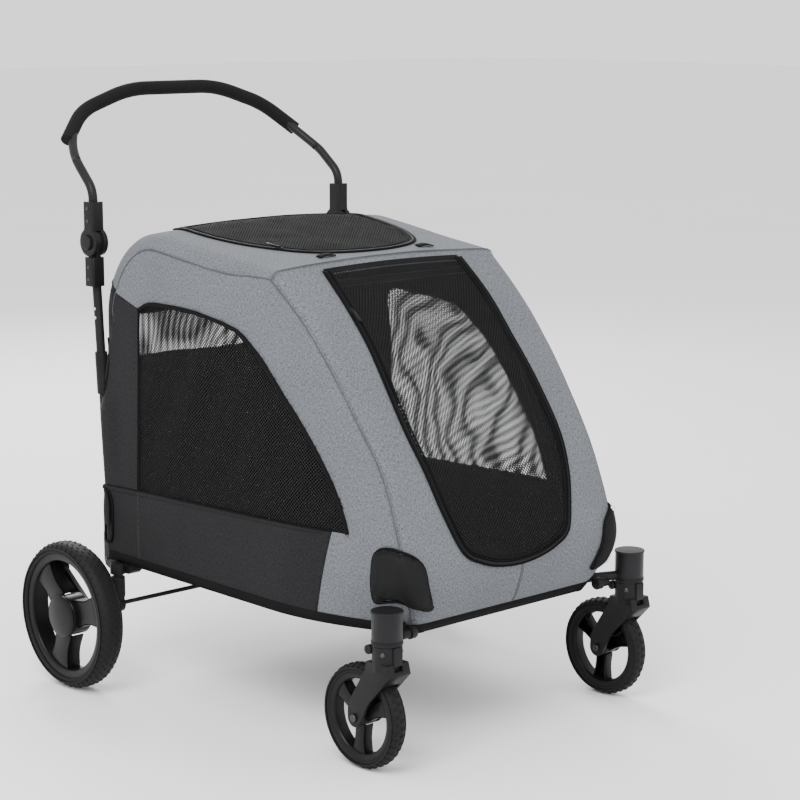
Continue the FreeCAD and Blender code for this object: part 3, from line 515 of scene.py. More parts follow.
def cover(t, s):
    """Back and roof in one: t is across, s runs up the back and forward over the roof."""
    place, out = spine(s)
    radius = corner_radius(s)
    half = side_half(*place)
    flat = half - radius
    turn = min(math.pi / 2, max(0.0, (abs(t) - flat) / radius))
    crown = 9 * smooth_step((s - WALL_LONG + 40) / 160)
    puff = crown * (1 - min(1.0, abs(t) / flat) ** 2) - radius * (1 - math.cos(turn))
    puff += smooth_step((flat - abs(t)) / 60) * 1.5 * ripple(t, s, 110, 9.0)
    place = place + out * puff
    x = min(abs(t), flat) + radius * math.sin(turn)
    x += (side_half(*place) - half) * smooth_step(turn * 2 / math.pi)
    return Vector((math.copysign(x, t), place.x, place.y))


cover.out = -1
NOSE_R = 14.0


def front_edge(z):
    y = reading(FRONT_Y, z)
    return side_half(y, z) + NOSE_R * (math.pi / 2 - 1)


def nose(t, z):
    """The front frame: t is across, z is the height."""
    y = reading(FRONT_Y, z)
    half = side_half(y, z)
    flat = half - NOSE_R
    turn = min(math.pi / 2, max(0.0, (abs(t) - flat) / NOSE_R))
    crown = 9 * (1 - min(1.0, abs(t) / flat) ** 2)
    rise = crown * smooth_step((z - 620) / 140)
    bulge = crown * 0.5 * smooth_step((z - 230) / 60) * (1 - smooth_step((z - 620) / 140))
    back = NOSE_R * (1 - math.cos(turn))
    bulge += smooth_step((flat - abs(t)) / 40) * smooth_step((z - HEM) / 50) * 1.2 * ripple(t, z, 90, 3.0)
    y += back * 0.75 - bulge
    x = min(abs(t), flat) + NOSE_R * math.sin(turn)
    down = back * 0.65 * smooth_step((z - 560) / 200)
    x += (side_half(y, z - down) - half) * smooth_step(turn * 2 / math.pi)
    return Vector((math.copysign(x, t), y, z + rise - down))


nose.out = 1


def side_surface(side):
    def surface(y, z):
        return Vector((side * side_half(y, z), y, z))
    surface.out = side
    return surface


def lifted(surface, a, b, lift):
    """A point held off a surface by a distance."""
    point = surface(a, b)
    if not lift:
        return point
    across = surface(a + 1, b) - surface(a - 1, b)
    up = surface(a, b + 1) - surface(a, b - 1)
    return point + across.cross(up).normalized() * lift * surface.out


def filled(outline, holes=(), grid=10.0, turn=0.0):
    """A flat panel inside an outline and around holes, divided into a grid, with its UVs in metres."""
    bm = bmesh.new()
    for loop in (outline, *holes):
        ring_of(bm, [(p[0], p[1], 0) for p in loop])
    bmesh.ops.triangle_fill(bm, use_beauty=True, use_dissolve=False, edges=bm.edges[:])
    if grid:
        for axis in (0, 1):
            low = min(p[axis] for p in outline)
            high = max(p[axis] for p in outline)
            across = Vector((1, 0, 0)) if axis == 0 else Vector((0, 1, 0))
            for k in range(1, int((high - low) / grid) + 1):
                geom = bm.verts[:] + bm.edges[:] + bm.faces[:]
                bmesh.ops.bisect_plane(bm, geom=geom, dist=1e-3, plane_co=across * (low + k * grid),
                                       plane_no=across)
    bmesh.ops.remove_doubles(bm, verts=bm.verts, dist=0.02)
    uv = bm.loops.layers.uv.new("flat")
    for face in bm.faces:
        for corner in face.loops:
            corner[uv].uv = (Matrix.Rotation(turn, 2) @ corner.vert.co.to_2d()) * MM
    return bm


def perimeter(loop):
    return sum((Vector(a[:2]) - Vector(b[:2])).length for a, b in zip(loop, [*loop[1:], loop[0]]))


def panel(name, material, body, surface, outline, holes=(), lift=0.0, thick=1.2, grid=10.0,
          soft=True, wave=None, nodes=(), declare=True, turn=0.0):
    """One cut of cloth laid on a cabin surface."""
    bm = filled(outline, holes, grid, turn)
    area = sum(f.calc_area() for f in bm.faces)
    spans = [max(p[k] for p in outline) - min(p[k] for p in outline) for k in (0, 1)]
    faces_up = bm.faces[:] and sum(f.normal.z for f in bm.faces) > 0
    for v in bm.verts:
        v.co = lifted(surface, v.co.x, v.co.y, lift + (wave(v.co.x, v.co.y) if wave else 0.0))
    if faces_up != (surface.out > 0):
        bmesh.ops.reverse_faces(bm, faces=bm.faces)
    piece = from_bmesh(bm, name, material, body, soft, sharp=None)
    shell = piece.modifiers.new("Cloth thickness", "SOLIDIFY")
    shell.thickness = thick * MM
    shell.offset = -1
    shell.material_offset = 1 if isinstance(material, tuple) else 0
    shell.use_even_offset = False
    if declare:
        flat = sorted(s * MM for s in spans)
        if area * MM * MM < 0.3 * flat[0] * flat[1]:
            # a narrow frame is cut as a strip and joined into a ring
            round_it = (perimeter(outline) + sum(perimeter(h) for h in holes)) / 2
            flat = [area / round_it * MM, round_it * MM]
    if nodes:
        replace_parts(piece, *nodes)
    return piece


def ribbon(name, material, body, surface, line, half, lift, thick=0.8, closed=False, soft=True):
    """A narrow tape laid along a line on a surface."""
    left = moved_off(line, half, closed)
    right = moved_off(line, -half, closed)
    if closed:
        outer, inner = grown(line, half), grown(line, -half)
        return panel(name, material, body, surface, outer, [inner], lift, thick, None, soft=soft,
                     declare=False)
    return panel(name, material, body, surface, left + right[::-1], (), lift, thick, None, soft=soft,
                 declare=False)


def enclosed(loop):
    return abs(sum(loop[i - 1].x * p.y - p.x * loop[i - 1].y for i, p in enumerate(loop))) / 2


def piping(name, material, body, surface, line, radius, lift, closed=False, soft=True):
    path = [lifted(surface, p.x, p.y, lift) for p in line]
    return tube(path, radius, name, material, body, soft, closed, 8)


def grown(loop, by):
    """A closed loop moved outwards, or inwards by less than nothing."""
    first, second = moved_off(loop, abs(by), True), moved_off(loop, -abs(by), True)
    return max(first, second, key=enclosed) if by > 0 else min(first, second, key=enclosed)


def cornered(points, step=12.0):
    """A closed outline of straight runs from point to point."""
    loop = []
    for a, b in zip(points, [*points[1:], points[0]]):
        loop += straight(a, b, step)[:-1]
    return loop


def spaced(line, gap):
    """Places every so far along a line, with the heading at each."""
    places = []
    left = gap / 2
    for a, b in zip(line, line[1:]):
        run = (b - a).length
        while left < run:
            places.append((a.lerp(b, left / run), (b - a).normalized()))
            left += gap
        left -= run
    return places


def row_of_blocks(name, material, body, surface, line, gap, size, lift, soft=True, offset=0.0):
    """Small blocks along a line on a surface: zip teeth or stitches."""
    bm = bmesh.new()
    for place, along in spaced(line, gap):
        place = place + Vector((-along.y, along.x)) * offset
        centre = lifted(surface, place.x, place.y, lift)
        ahead = (lifted(surface, place.x + along.x, place.y + along.y, lift) - centre).normalized()
        out = (lifted(surface, place.x, place.y, lift + 1) - centre).normalized()
        turned = Matrix((ahead, out.cross(ahead), out)).transposed().to_4x4()
        block(bm, size, Matrix.Translation(centre) @ turned)
    return from_bmesh(bm, name, material, body, soft)


def zipper(name, body, surface, line, lift):
    """A zip: tape, two rows of teeth and a cord of stitching on either side."""
    tape = ribbon(name + "_tape", TAPE, body, surface, line, 5.6, lift)
    teeth = row_of_blocks(name + "_teeth", PLASTIC, body, surface, line, 2.2, (1.3, 4.2, 1.5), lift + 1.0)
    edges = [piping(f"{name}_welt_{k}", TAPE, body, surface, moved_off(line, side * 4.8), 1.0, lift + 0.6)
             for k, side in ((1, 1), (2, -1))]
    return [tape, teeth, *edges]


def puller(name, body, surface, place, along, lift):
    """A zip slider with its hanging tab."""
    bm = bmesh.new()
    along = Vector(along).normalized()
    centre = lifted(surface, place[0], place[1], lift)
    ahead = (lifted(surface, place[0] + along.x, place[1] + along.y, lift) - centre).normalized()
    out = (lifted(surface, place[0], place[1], lift + 1) - centre).normalized()
    turned = Matrix.Translation(centre) @ Matrix((ahead, out.cross(ahead), out)).transposed().to_4x4()
    block(bm, (11, 8, 3), turned)
    block(bm, (8, 3, 3), turned @ Matrix.Translation((-1, 0, 2.6)))
    block(bm, (24, 6, 1.6), turned @ Matrix.Translation((-12, 0, 4.2)) @ Matrix.Rotation(0.12, 4, "Y"))
    softened(bm, 0.9)
    return from_bmesh(bm, name, PLASTIC, body, soft=True)


# ---- cabin ----

def hatch_spot(x, y):
    """The place on the cover, in its own (across, along) measure, above a point of the plan."""
    if y > ROOF_START.x:
        angle = math.acos(min(1.0, (y - ARC_Y) / ARC_R))
        return Vector((x, WALL_LONG + angle * ARC_R))
    return Vector((x, WALL_LONG + ARC_LONG + (ROOF_START.x - y) / (ROOF_START.x - ROOF_FRONT.x) * ROOF_LONG))


HATCH = [(-196, 196), (-199, 150), (-193, 85), (-172, 10), (-128, -58), (-68, -92), (0, -102)]
HATCH = HATCH + [(-x, y) for x, y in HATCH[-2::-1]]
hatch_line = curve_through([hatch_spot(x, y) for x, y in HATCH])
hatch_loop = hatch_line + straight(hatch_line[-1], hatch_line[0], 12)[1:-1]
DOOR = [(152, 748), (155, 694), (155, 640), (158, 599), (161, 543), (160, 491), (150, 426), (138, 380),
        (118, 331), (85, 312), (46, 301), (0, 297)]
DOOR = DOOR + [(-x, z) for x, z in DOOR[-2::-1]]
door_line = curve_through(DOOR)
door_loop = door_line + straight(door_line[-1], door_line[0], 12)[1:-1]
WINDOW_CURVE = [(201, 666), (164, 679), (68, 679), (-7, 671), (-62, 659), (-92, 642), (-127, 616),
                (-167, 576), (-212, 530), (-257, 477), (-290, 430), (-312, 389), (-323, 361)]
window_curve = curve_through(WINDOW_CURVE)
window_back = straight((215, 344), (201, 666), 10)
window_sill = straight((-323, 361), (215, 344), 12)
window_loop = window_back[:-1] + window_curve[:-1] + window_sill[:-1]


def cover_outline(low, high, step=8.0):
    """The edge of a cut of the cover between two places along it."""
    count = max(2, round((high - low) / step))
    rise = [low + (high - low) * k / count for k in range(count + 1)]
    left = [Vector((-cover_edge(s), s)) for s in rise]
    right = [Vector((cover_edge(s), s)) for s in reversed(rise)]
    return left + straight(left[-1], right[0], 10)[1:-1] + right + straight(right[-1], left[0], 10)[1:-1]


def leaf(side):
    """The slit at a rear corner where the upright comes out of its pocket."""
    low, high = LEAF_LOW - HEM, LEAF_HIGH - HEM
    mid = (low + high) / 2
    loop = []
    for k in range(24):
        angle = math.tau * k / 24
        width = 15.5 * abs(math.sin(angle)) ** 0.8 * math.copysign(1, math.sin(angle))
        loop.append(Vector((side * (272.5 + width), mid - (high - low) / 2 * math.cos(angle))))
    return loop


def build_cover():
    """Black back panel with its net window, and the grey roof over it."""
    window = [(-205, 362), (-205, 428), (-190, 434), (190, 434), (205, 428), (205, 362), (100, 354),
              (0, 352), (-100, 356)]
    window = curve_through(window, 10, closed=True)
    leaves = [leaf(side) for _, side in SIDES]
    trims = [piping(f"rear_slit_binding_{label}", TAPE, "base", cover, leaf(side), 2.2, 0.8, closed=True)
             for label, side in SIDES]
    net_edge = piping("rear_window_piping", TAPE, "base", cover, window, 2.4, 1.0, closed=True)
    panel("rear_cover", (BLACK, BLACK), "base", cover, cover_outline(0, WALL_LONG), [window, *leaves],
          nodes=["rear_panel"])
    panel("rear_window_net", MESH, "base", cover, grown(window, 4), lift=-1.6, thick=0.4,
          wave=lambda a, b: 1.5 * ripple(a, b, 70, 2.0))
    top = WALL_LONG + 70
    panel("rear_cover_top", (BLACK, BLACK), "canopy", cover, cover_outline(WALL_LONG, top))
    roof_hole = grown(hatch_loop, -5)
    seam = straight((-cover_edge(COVER_LONG - 2) + 2, COVER_LONG - 2),
                    (cover_edge(COVER_LONG - 2) - 2, COVER_LONG - 2))
    pieces = [
        row_of_blocks("roof_front_stitches", SEAM, "canopy", cover, seam, 4.0, (2.6, 0.9, 0.7), 0.4,
                      offset=4),
        piping("roof_front_seam", SEAM, "canopy", cover, seam, 1.1, 0.3),
        piping("roof_back_seam", BLACK, "canopy", cover,
               straight((-cover_edge(top) + 2, top), (cover_edge(top) - 2, top)), 1.2, 0.3),
        ribbon("hatch_hinge_tape", TAPE, "canopy", cover, straight(hatch_line[0], hatch_line[-1]), 6, 1.0),
        ribbon("door_top_tape", TAPE, "canopy", nose, straight(door_line[0], door_line[-1]), 3.5, 1.0),
    ]
    for label, side in SIDES:
        edge = [Vector((side * (cover_edge(s) - 0.5), s))
                for s in range(round(WALL_LONG + 4), round(COVER_LONG), 8)]
        pieces.append(piping(f"roof_side_seam_{label}", SEAM, "canopy", cover, edge, 0.9, 0.1))
    panel("roof_cover", (GREY, BLACK), "canopy", cover, cover_outline(top, COVER_LONG), [roof_hole],
          nodes=["roof_panel"])
    for label, side in SIDES:
        place = Vector((side * 112, hatch_spot(0, -104).y))
        flat = [place + Vector(p) for p in ((-17, -6), (17, -6), (17, 6), (-17, 6))]
        panel(f"roof_loop_{label}", TAPE, "canopy", cover, flat, lift=3.2, thick=2.2, grid=4.0,
              declare=False,
              wave=lambda a, b, place=place: 2.6 * (1 - min(1.0, abs(a - place.x) / 17) ** 2))


def build_hatch():
    pieces = zipper("hatch_zip", "roof_hatch", cover, hatch_line, 1.6)
    pieces.append(puller("hatch_zip_pull", "roof_hatch", cover, hatch_spot(-151, -30), (0.5, 1.0), 3.6))
    pieces.append(piping("hatch_binding", TAPE, "roof_hatch", cover, grown(hatch_loop, -9), 1.6, 2.4,
                         closed=True))
    panel("hatch_net", MESH, "roof_hatch", cover, grown(hatch_loop, -4), lift=1.2, thick=0.4,
          nodes=["roof_hatch"],
          wave=lambda a, b: 1.2 + 1.8 * ripple(a, b, 60, 4.0) + 1.2 * ripple(a, b, 26, 8.0))


def front_outline(low, high):
    """The front frame's edge in (across, z)."""
    count = round((high - low) / 8)
    rise = [low + (high - low) * k / count for k in range(count + 1)]
    left = [Vector((-front_edge(z), z)) for z in rise]
    right = [Vector((front_edge(z), z)) for z in reversed(rise)]
    return left + straight(left[-1], right[0], 10)[1:-1] + right + straight(right[-1], left[0], 10)[1:-1]


def build_front():
    hole = grown(door_loop, -5)
    hem = straight((-front_edge(214), 214), (front_edge(214), 214))
    pieces = [
        ribbon("front_hem_band", TAPE, "base", nose, hem, 8.5, 1.0),
        piping("front_centre_seam", SEAM, "base", nose, straight((8, 291), (10, 224)), 0.9, 0.2),
        row_of_blocks("front_centre_stitches", SEAM, "base", nose, straight((8, 291), (10, 224)), 4.0,
                      (2.6, 0.9, 0.7), 0.3, offset=4),
    ]
    for label, side in SIDES:
        edge = [Vector((side * (front_edge(z) - 1), z)) for z in range(228, 758, 8)]
        pieces.append(piping(f"front_side_seam_{label}", SEAM, "base", nose, edge, 1.1, 0.2))
        pieces.append(row_of_blocks(f"front_side_stitches_{label}", SEAM, "base", nose, edge, 4.0,
                                    (2.6, 0.9, 0.7), 0.3, offset=side * 5))
        around = front_corner(side)
        turn = straight((-26, 206), (26, 206), 6) + straight((26, 223), (-26, 223), 6)
        panel(f"hem_corner_{label}", TAPE, "base", around, turn, lift=2.2, thick=1.0, grid=4.0,
              declare=False)
    panel("front_frame", (GREY, BLACK), "base", nose, front_outline(HEM, 760), [hole], nodes=["front_panel"])


def build_door():
    pieces = zipper("door_zip", "front_door", nose, door_line, 2.0)
    pieces.append(puller("door_zip_pull", "front_door", nose, (-155, 690), (0.05, 1.0), 4.2))
    inside = max((moved_off(door_line, 9), moved_off(door_line, -9)), key=lambda l: l[len(l) // 2].y)
    pieces.append(piping("door_binding", TAPE, "front_door", nose, inside, 1.8, 2.6))

    def folds(a, b):
        droop = smooth_step((b - 300) / 80) * smooth_step((740 - b) / 80)
        return droop * (2.2 * ripple(a, b * 0.35, 46, 6.0) + 1.2 * ripple(a, b, 30, 1.0))

    panel("door_net", MESH, "front_door", nose, door_loop, lift=1.4, thick=0.4,
          nodes=["front_door"], wave=folds)


def side_outline():
    """The side's edge in (y, z), inside the cover's turned-down corners."""
    line = []
    for k in range(int(COVER_LONG / 10) + 1):
        s = min(k * 10.0, COVER_LONG - NOSE_R * 0.4)
        place, out = spine(s)
        line.append(place - out * corner_radius(s))
    for k in range(1, 80):
        z = 752 - k * 7
        if z < HEM + 1:
            break
        y = reading(FRONT_Y, z)
        back = NOSE_R
        line.append(Vector((y + back * 0.75, z - back * 0.65 * smooth_step((z - 560) / 200))))
    line.append(Vector((reading(FRONT_Y, HEM) + NOSE_R * 0.75, HEM)))
    return line + straight(line[-1], line[0], 12)[1:-1]


def build_side(label, side):
    surface = side_surface(side)
    pieces = [piping(f"window_piping_{label}", TAPE, "base", surface, window_curve + window_sill[:1], 3.6,
                     1.4)]
    pieces.append(piping(f"window_back_seam_{label}", TAPE, "base", surface, window_back, 1.6, 1.0))
    # black strip down the back, and the black lower panel
    strip = curve_through([(309, 206), (309, 480), (300, 560), (278, 640)])
    strip = strip[:-1] + straight((278, 640), (284, 694), 8)[:-1] + straight((284, 694), (199, 666), 8)[:-1]
    strip += straight((199, 666), (213, 344), 10)[:-1] + straight((213, 344), (213, 206), 10)
    strip += straight((213, 206), (309, 206), 10)[1:-1]
    panel(f"side_back_strip_{label}", BLACK, "base", surface, strip, lift=0.7)
    sill = straight((218, 345.5), (-290, 361), 10)
    low = straight((-250, 206), (218, 206), 10)
    lower = sill + straight((-290, 361), (-250, 206), 10)[1:-1] + low
    lower += straight((218, 206), (218, 344), 10)[1:-1]
    panel(f"side_lower_panel_{label}", BLACK, "base", surface, lower, lift=0.9)
    pieces.append(piping(f"lower_panel_seam_{label}", TAPE, "base", surface,
                         straight((306, 342), (-290, 361)), 1.0, 1.2))
    pieces.append(row_of_blocks(f"lower_panel_stitches_{label}", BLACK, "base", surface,
                                straight((300, 333), (-270, 354)), 4.0, (2.6, 0.9, 0.7), 1.3))
    hem = straight((306, 214), (reading(FRONT_Y, 214) + NOSE_R, 214))
    pieces.append(ribbon(f"side_hem_band_{label}", TAPE, "base", surface, hem, 8.5, 1.6))
    panel(f"side_cloth_{label}", (GREY, BLACK), "base", surface, side_outline(), [window_loop],
          nodes=[f"side_panel_{label}"])

    def folds(a, b):
        quiet = smooth_step((b - 350) / 60) * smooth_step((676 - b) / 60) * smooth_step((212 - a) / 50)
        slant = ripple(a * 0.8 + b * 0.55, b * 0.25 - a * 0.2, 60, 7.0)
        return -2.0 + quiet * (5.5 * slant + 2.0 * ripple(a, b, 38, 2.5))

    panel(f"side_net_{label}", MESH, "base", surface, grown(window_loop, 5), thick=0.4,
          nodes=[f"side_window_{label}"], wave=folds, turn=0.3 * (label == "left"))
    if label == "left":
        # a black lining frames this window on the inside
        lining = curve_through([(148, 349), (150, 560), (154, 654), (80, 657), (7, 653), (-40, 640),
                                (-95, 602), (-152, 545), (-221, 458), (-252, 400), (-269, 351)], 8)
        lining += straight((-269, 351), (148, 349), 12)[1:-1]
        panel("window_lining", BLACK, "base", surface, grown(window_loop, 9), [lining], lift=-7.0)


# ---- stuffed pieces ----

def swollen(bm, cap, voxel=5.0, pressure=4.0):
    """Let air pressure round out a closed cloth shape; no point moves further than cap."""
    mesh = bpy.data.meshes.new("stuffing")
    bm.to_mesh(mesh)
    bm.free()
    mesh.transform(Matrix.Scale(MM, 4))
    shape = bpy.data.objects.new("stuffing", mesh)
    scene = bpy.context.scene
    scene.collection.objects.link(shape)
    grid = shape.modifiers.new("Grid", "REMESH")
    grid.mode = "VOXEL"
    grid.voxel_size = voxel * MM
    bpy.context.view_layer.update()
    mesh = bpy.data.meshes.new_from_object(shape.evaluated_get(bpy.context.evaluated_depsgraph_get()))
    shape.modifiers.clear()
    shape.data = mesh
    start = [v.co.copy() for v in mesh.vertices]
    cloth = shape.modifiers.new("Cloth", "CLOTH")
    cloth.settings.use_pressure = True
    cloth.settings.uniform_pressure_force = pressure
    cloth.settings.effector_weights.gravity = 0
    cloth.settings.quality = 5
    for step in range(1, 21):
        scene.frame_set(step)
    blown = bpy.data.meshes.new_from_object(shape.evaluated_get(bpy.context.evaluated_depsgraph_get()))
    scene.frame_set(1)
    for vertex, place in zip(blown.vertices, start):
        moved = vertex.co - place
        if moved.length > cap * MM:
            vertex.co = place + moved.normalized() * cap * MM
    bpy.data.objects.remove(shape)
    blown.transform(Matrix.Scale(1 / MM, 4))
    return blown


def slab(outline, surface, low, high, grid=8.0):
    """A closed thick panel between two heights over a surface, with its rim."""
    bm = filled(outline, (), grid)
    spots = {v: v.co.xy.copy() for v in bm.verts}
    raised = bmesh.ops.extrude_face_region(bm, geom=bm.faces[:])
    for v in raised["geom"]:
        if isinstance(v, bmesh.types.BMVert):
            v.co = lifted(surface, v.co.x, v.co.y, high(v.co.x, v.co.y) if callable(high) else high)
    for v, spot in spots.items():
        if v.is_valid:
            v.co = lifted(surface, spot.x, spot.y, low)
    solid(bm)
    return bm


def stuffed(name, material, body, bm, nodes, cap):
    """A padded piece: swollen by the cloth simulation, then smoothed."""
    mesh = swollen(bm, cap)
    mesh.materials.clear()
    piece = put(mesh, name, material, body)
    fine = piece.modifiers.new("Smooth cloth", "SUBSURF")
    fine.levels = fine.render_levels = 1
    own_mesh(piece)
    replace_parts(piece, *nodes)
    return piece


def front_corner(side):
    """The skin round a front corner: across is the distance from the seam, less on the side wall."""
    def surface(across, z):
        y = reading(FRONT_Y, z)
        if across > 0:
            point = nose(front_edge(z) - across, z)
        else:
            point = Vector((side_half(y + NOSE_R * 0.75 - across, z), y + NOSE_R * 0.75 - across, z))
        return Vector((side * point.x, point.y, point.z))
    surface.out = -side
    return surface


def build_pads(label, side):
    skin = front_corner(side)
    edge = curve_through([(-60, 264), (-63, 290), (-60, 316), (-50, 338), (-31, 350), (-5, 352), (17, 343),
                          (35, 324), (40, 296), (43, 262), (41, 249), (29, 248), (11, 256), (-11, 265),
                          (-36, 261), (-53, 257)], 6, closed=True)
    bm = slab(edge, skin, 2.0, 7.5)
    stuffed(f"front_guard_{label}", QUILT, "base", bm, [f"front_pad_{label}"], 5)
    piping(f"front_guard_edge_{label}", TAPE, "base", skin, grown(edge, -1.5), 2.2, 3.0, closed=True)
    row_of_blocks(f"front_guard_stitches_{label}", QUILT, "base", skin, grown(edge, -6), 4.0,
                  (2.6, 0.9, 0.8), 9.5)

    def rear_corner(across, z):
        # behind the seam this is the back panel, ahead of it the side wall
        if across < 0:
            return cover(side * (cover_edge(z - HEM) + across), z - HEM)
        return Vector((side * side_half(BACK_Y - 12 - across, z), BACK_Y - 12 - across, z))
    rear_corner.out = -side
    rear = curve_through([(-52, 246), (-20, 240), (14, 238), (22, 270), (22, 312), (10, 332), (-20, 339),
                          (-52, 338)], 7, closed=True)
    bm = slab(rear, rear_corner, 1.8, 6.0)
    stuffed(f"rear_guard_{label}", QUILT, "base", bm, [f"rear_pad_{label}"], 4)
    piping(f"rear_guard_edge_{label}", TAPE, "base", rear_corner, grown(rear, -1.5), 2.2, 2.6, closed=True)


def build_bottom():
    """The cabin's cloth bottom, cut out round the two rear brackets."""
    def ground(x, y):
        return Vector((x, y, HEM + 0.9))
    ground.out = 1
    edge = [Vector((side_half(y, HEM) - 2.0, y)) for y in range(-392, 232, 8)]
    notch = [(240, 236), (240, 328), (-240, 328), (-240, 236)]
    loop = edge + straight(edge[-1], notch[0], 8)[1:-1]
    for a, b in zip(notch, notch[1:]):
        loop += straight(a, b, 10)[:-1]
    loop += straight(notch[-1], (-edge[-1].x, edge[-1].y), 8)[:-1]
    loop += [Vector((-p.x, p.y)) for p in reversed(edge)]
    loop += straight((-edge[0].x, edge[0].y), edge[0], 10)[1:-1]
    panel("cabin_bottom", BLACK, "base", ground, loop, thick=0.8)


def build_mat():
    low, high = corners("floor_mat")
    half = high.x - 2
    front = low.y + 2
    plan = [(half, high.y), (half, -180), (215, -318), (172, front)]
    outline = cornered([(-x, y) for x, y in plan[:1]] + plan + [(-x, y) for x, y in plan[:0:-1]])

    def ground(x, y):
        return Vector((x, y, low.z))
    ground.out = 1

    def crown(x, y):
        rim = smooth_step((half - abs(x)) / 20) * smooth_step((high.y - y) / 20)
        rim *= smooth_step((y - front) / 20)
        channel = min(abs((x + 1000) % 110 - 55), abs((y + 1000) % 110 - 55))
        return 2.5 + rim * (high.z - low.z - 2.5) * (0.45 + 0.55 * smooth_step(channel / 16))

    bm = slab(outline, ground, 0.0, crown, 9.0)
    mesh = bpy.data.meshes.new("cabin_mat")
    bm.to_mesh(mesh)
    bm.free()
    piece = put(mesh, "cabin_mat", QUILT, "base")
    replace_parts(piece, "floor_mat")


# ---- wheels ----

def rim_profile(half, outer, wall):
    """A U-shaped rim, (along the axle, radius)."""
    deep = outer - wall
    side = [(half - 3.4, outer), (half - 2.4, outer + 2.6), (half, outer + 2.2), (half, outer),
            (half - 1.2, deep + 2), (half - 4, deep)]
    return [(-a, r) for a, r in side[3::-1]] + side + [(-a, r) for a, r in side[:3:-1]]


# spokes widen towards both ends: width at the hub, waist and rim, inner and outer radius, depth, wall
REAR_SPOKE = (50, 42, 60, 30, 100, 26, 3.0)
FRONT_SPOKE = (24, 22, 32, 12, 62, 17, 2.4)


def spoke(bm, centre, turn, sizes, side):
    """A deep channel spoke: a broad flat face outside, with a wall along each edge behind it."""
    at_hub, waist, at_rim, low, high, deep, wall = sizes
    here = Matrix.Translation(centre) @ Matrix.Rotation(turn, 4, "X")
    heights = [low + (high - low) * k / 8 for k in range(9)]
    widths = [reading(((low, at_hub), ((low + high) / 2, waist), (high, at_rim)), h) / 2 for h in heights]
    web = [(w, h) for w, h in zip(widths, heights)]
    web += [(-w, h) for w, h in reversed(web)]
    thrown = [(web, side * wall * 1.4)]
    for way in (-1, 1):
        edge = [(way * w, h) for w, h in zip(widths, heights)]
        edge += [(way * (w - wall), h) for w, h in zip(reversed(widths), reversed(heights))]
        thrown.append((edge, side * deep))
    for outline, thick in thrown:
        ring = ring_of(bm, [here @ Vector((side * deep / 2 - thick, a, r)) for a, r in outline])
        face = bmesh.ops.edgeloop_fill(bm, edges=ring)["faces"]
        grown_face = bmesh.ops.extrude_face_region(bm, geom=face)
        verts = [g for g in grown_face["geom"] if isinstance(g, bmesh.types.BMVert)]
        bmesh.ops.translate(bm, verts=verts, vec=(thick, 0, 0))


def build_tyre(name, body, node, round_r, blocks, tread):
    low, high = corners(node)
    centre, half, radius = (low + high) / 2, (high.x - low.x) / 2, (high.z - low.z) / 2
    seat = tread["seat"]
    depth = tread["depth"]
    crown = radius - depth
    bm = bmesh.new()
    profile = [(-half + 3, seat)]
    for k in range(7):
        angle = math.pi - math.pi / 2 * k / 6
        profile.append((-half + round_r + round_r * math.cos(angle),
                        crown - round_r + round_r * math.sin(angle)))
    profile += [(-a, r) for a, r in reversed(profile)]
    profile = [p for i, p in enumerate(profile) if i == 0 or p != profile[i - 1]]
    spun(bm, profile, centre, 120)
    solid(bm)

    def on_tread(across):
        """Radius and tilt of the tyre's crown at a distance from its middle."""
        past = max(0.0, abs(across) - half + round_r)
        angle = math.asin(min(1.0, past / round_r))
        return crown - round_r + round_r * math.cos(angle), math.copysign(angle, across)

    tread["make"](bm, centre, half, on_tread, depth, blocks)
    # a moulded bead ring on each sidewall
    for way in (-1, 1):
        edge = ((-1.2, -1.6), (1.0, -1.0), (1.0, 1.0), (-1.2, 1.6))
        bead = [(way * (half - 0.2) + a, seat + 9 + b) for a, b in edge]
        spun(bm, bead, centre, 96)
    bmesh.ops.recalc_face_normals(bm, faces=bm.faces)
    piece = from_bmesh(bm, name, RUBBER, body)
    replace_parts(piece, node)


def block_rows(bm, centre, half, on_tread, depth, count):
    """Rear tread: short bars and small studs in staggered rows round a smooth crown."""
    rows = ((-0.84, 7.0, 2.2, 0.0), (-0.5, 3.0, 2.4, 0.5), (-0.2, 2.2, 5.0, 0.0),
            (0.2, 2.2, 5.0, 0.5), (0.5, 3.0, 2.4, 0.0), (0.84, 7.0, 2.2, 0.5))
    for k in range(count):
        for where, wide, long, shift in rows:
            height, tilt = on_tread(where * half)
            place = Matrix.Translation(centre) @ Matrix.Rotation(math.tau * (k + shift) / count, 4, "X")
            place = place @ Matrix.Translation((where * half, 0, height)) @ Matrix.Rotation(tilt, 4, "Y")
            block(bm, (wide, long, depth * 1.8), place)


def wavy_rows(bm, centre, half, on_tread, depth, count):
    """Front tread: slanted shoulder bars that meet in a shallow wave."""
    for k in range(count):
        for where, way in ((-0.72, -1), (-0.26, -1), (0.26, 1), (0.72, 1)):
            height, tilt = on_tread(where * half)
            place = Matrix.Translation(centre) @ Matrix.Rotation(math.tau * (k + 0.25 * way) / count, 4, "X")
            place = place @ Matrix.Translation((where * half, 0, height)) @ Matrix.Rotation(tilt, 4, "Y")
            place = place @ Matrix.Rotation(way * 0.45, 4, "Z")
            block(bm, (half * 0.36, 3.4, depth * 1.8), place)


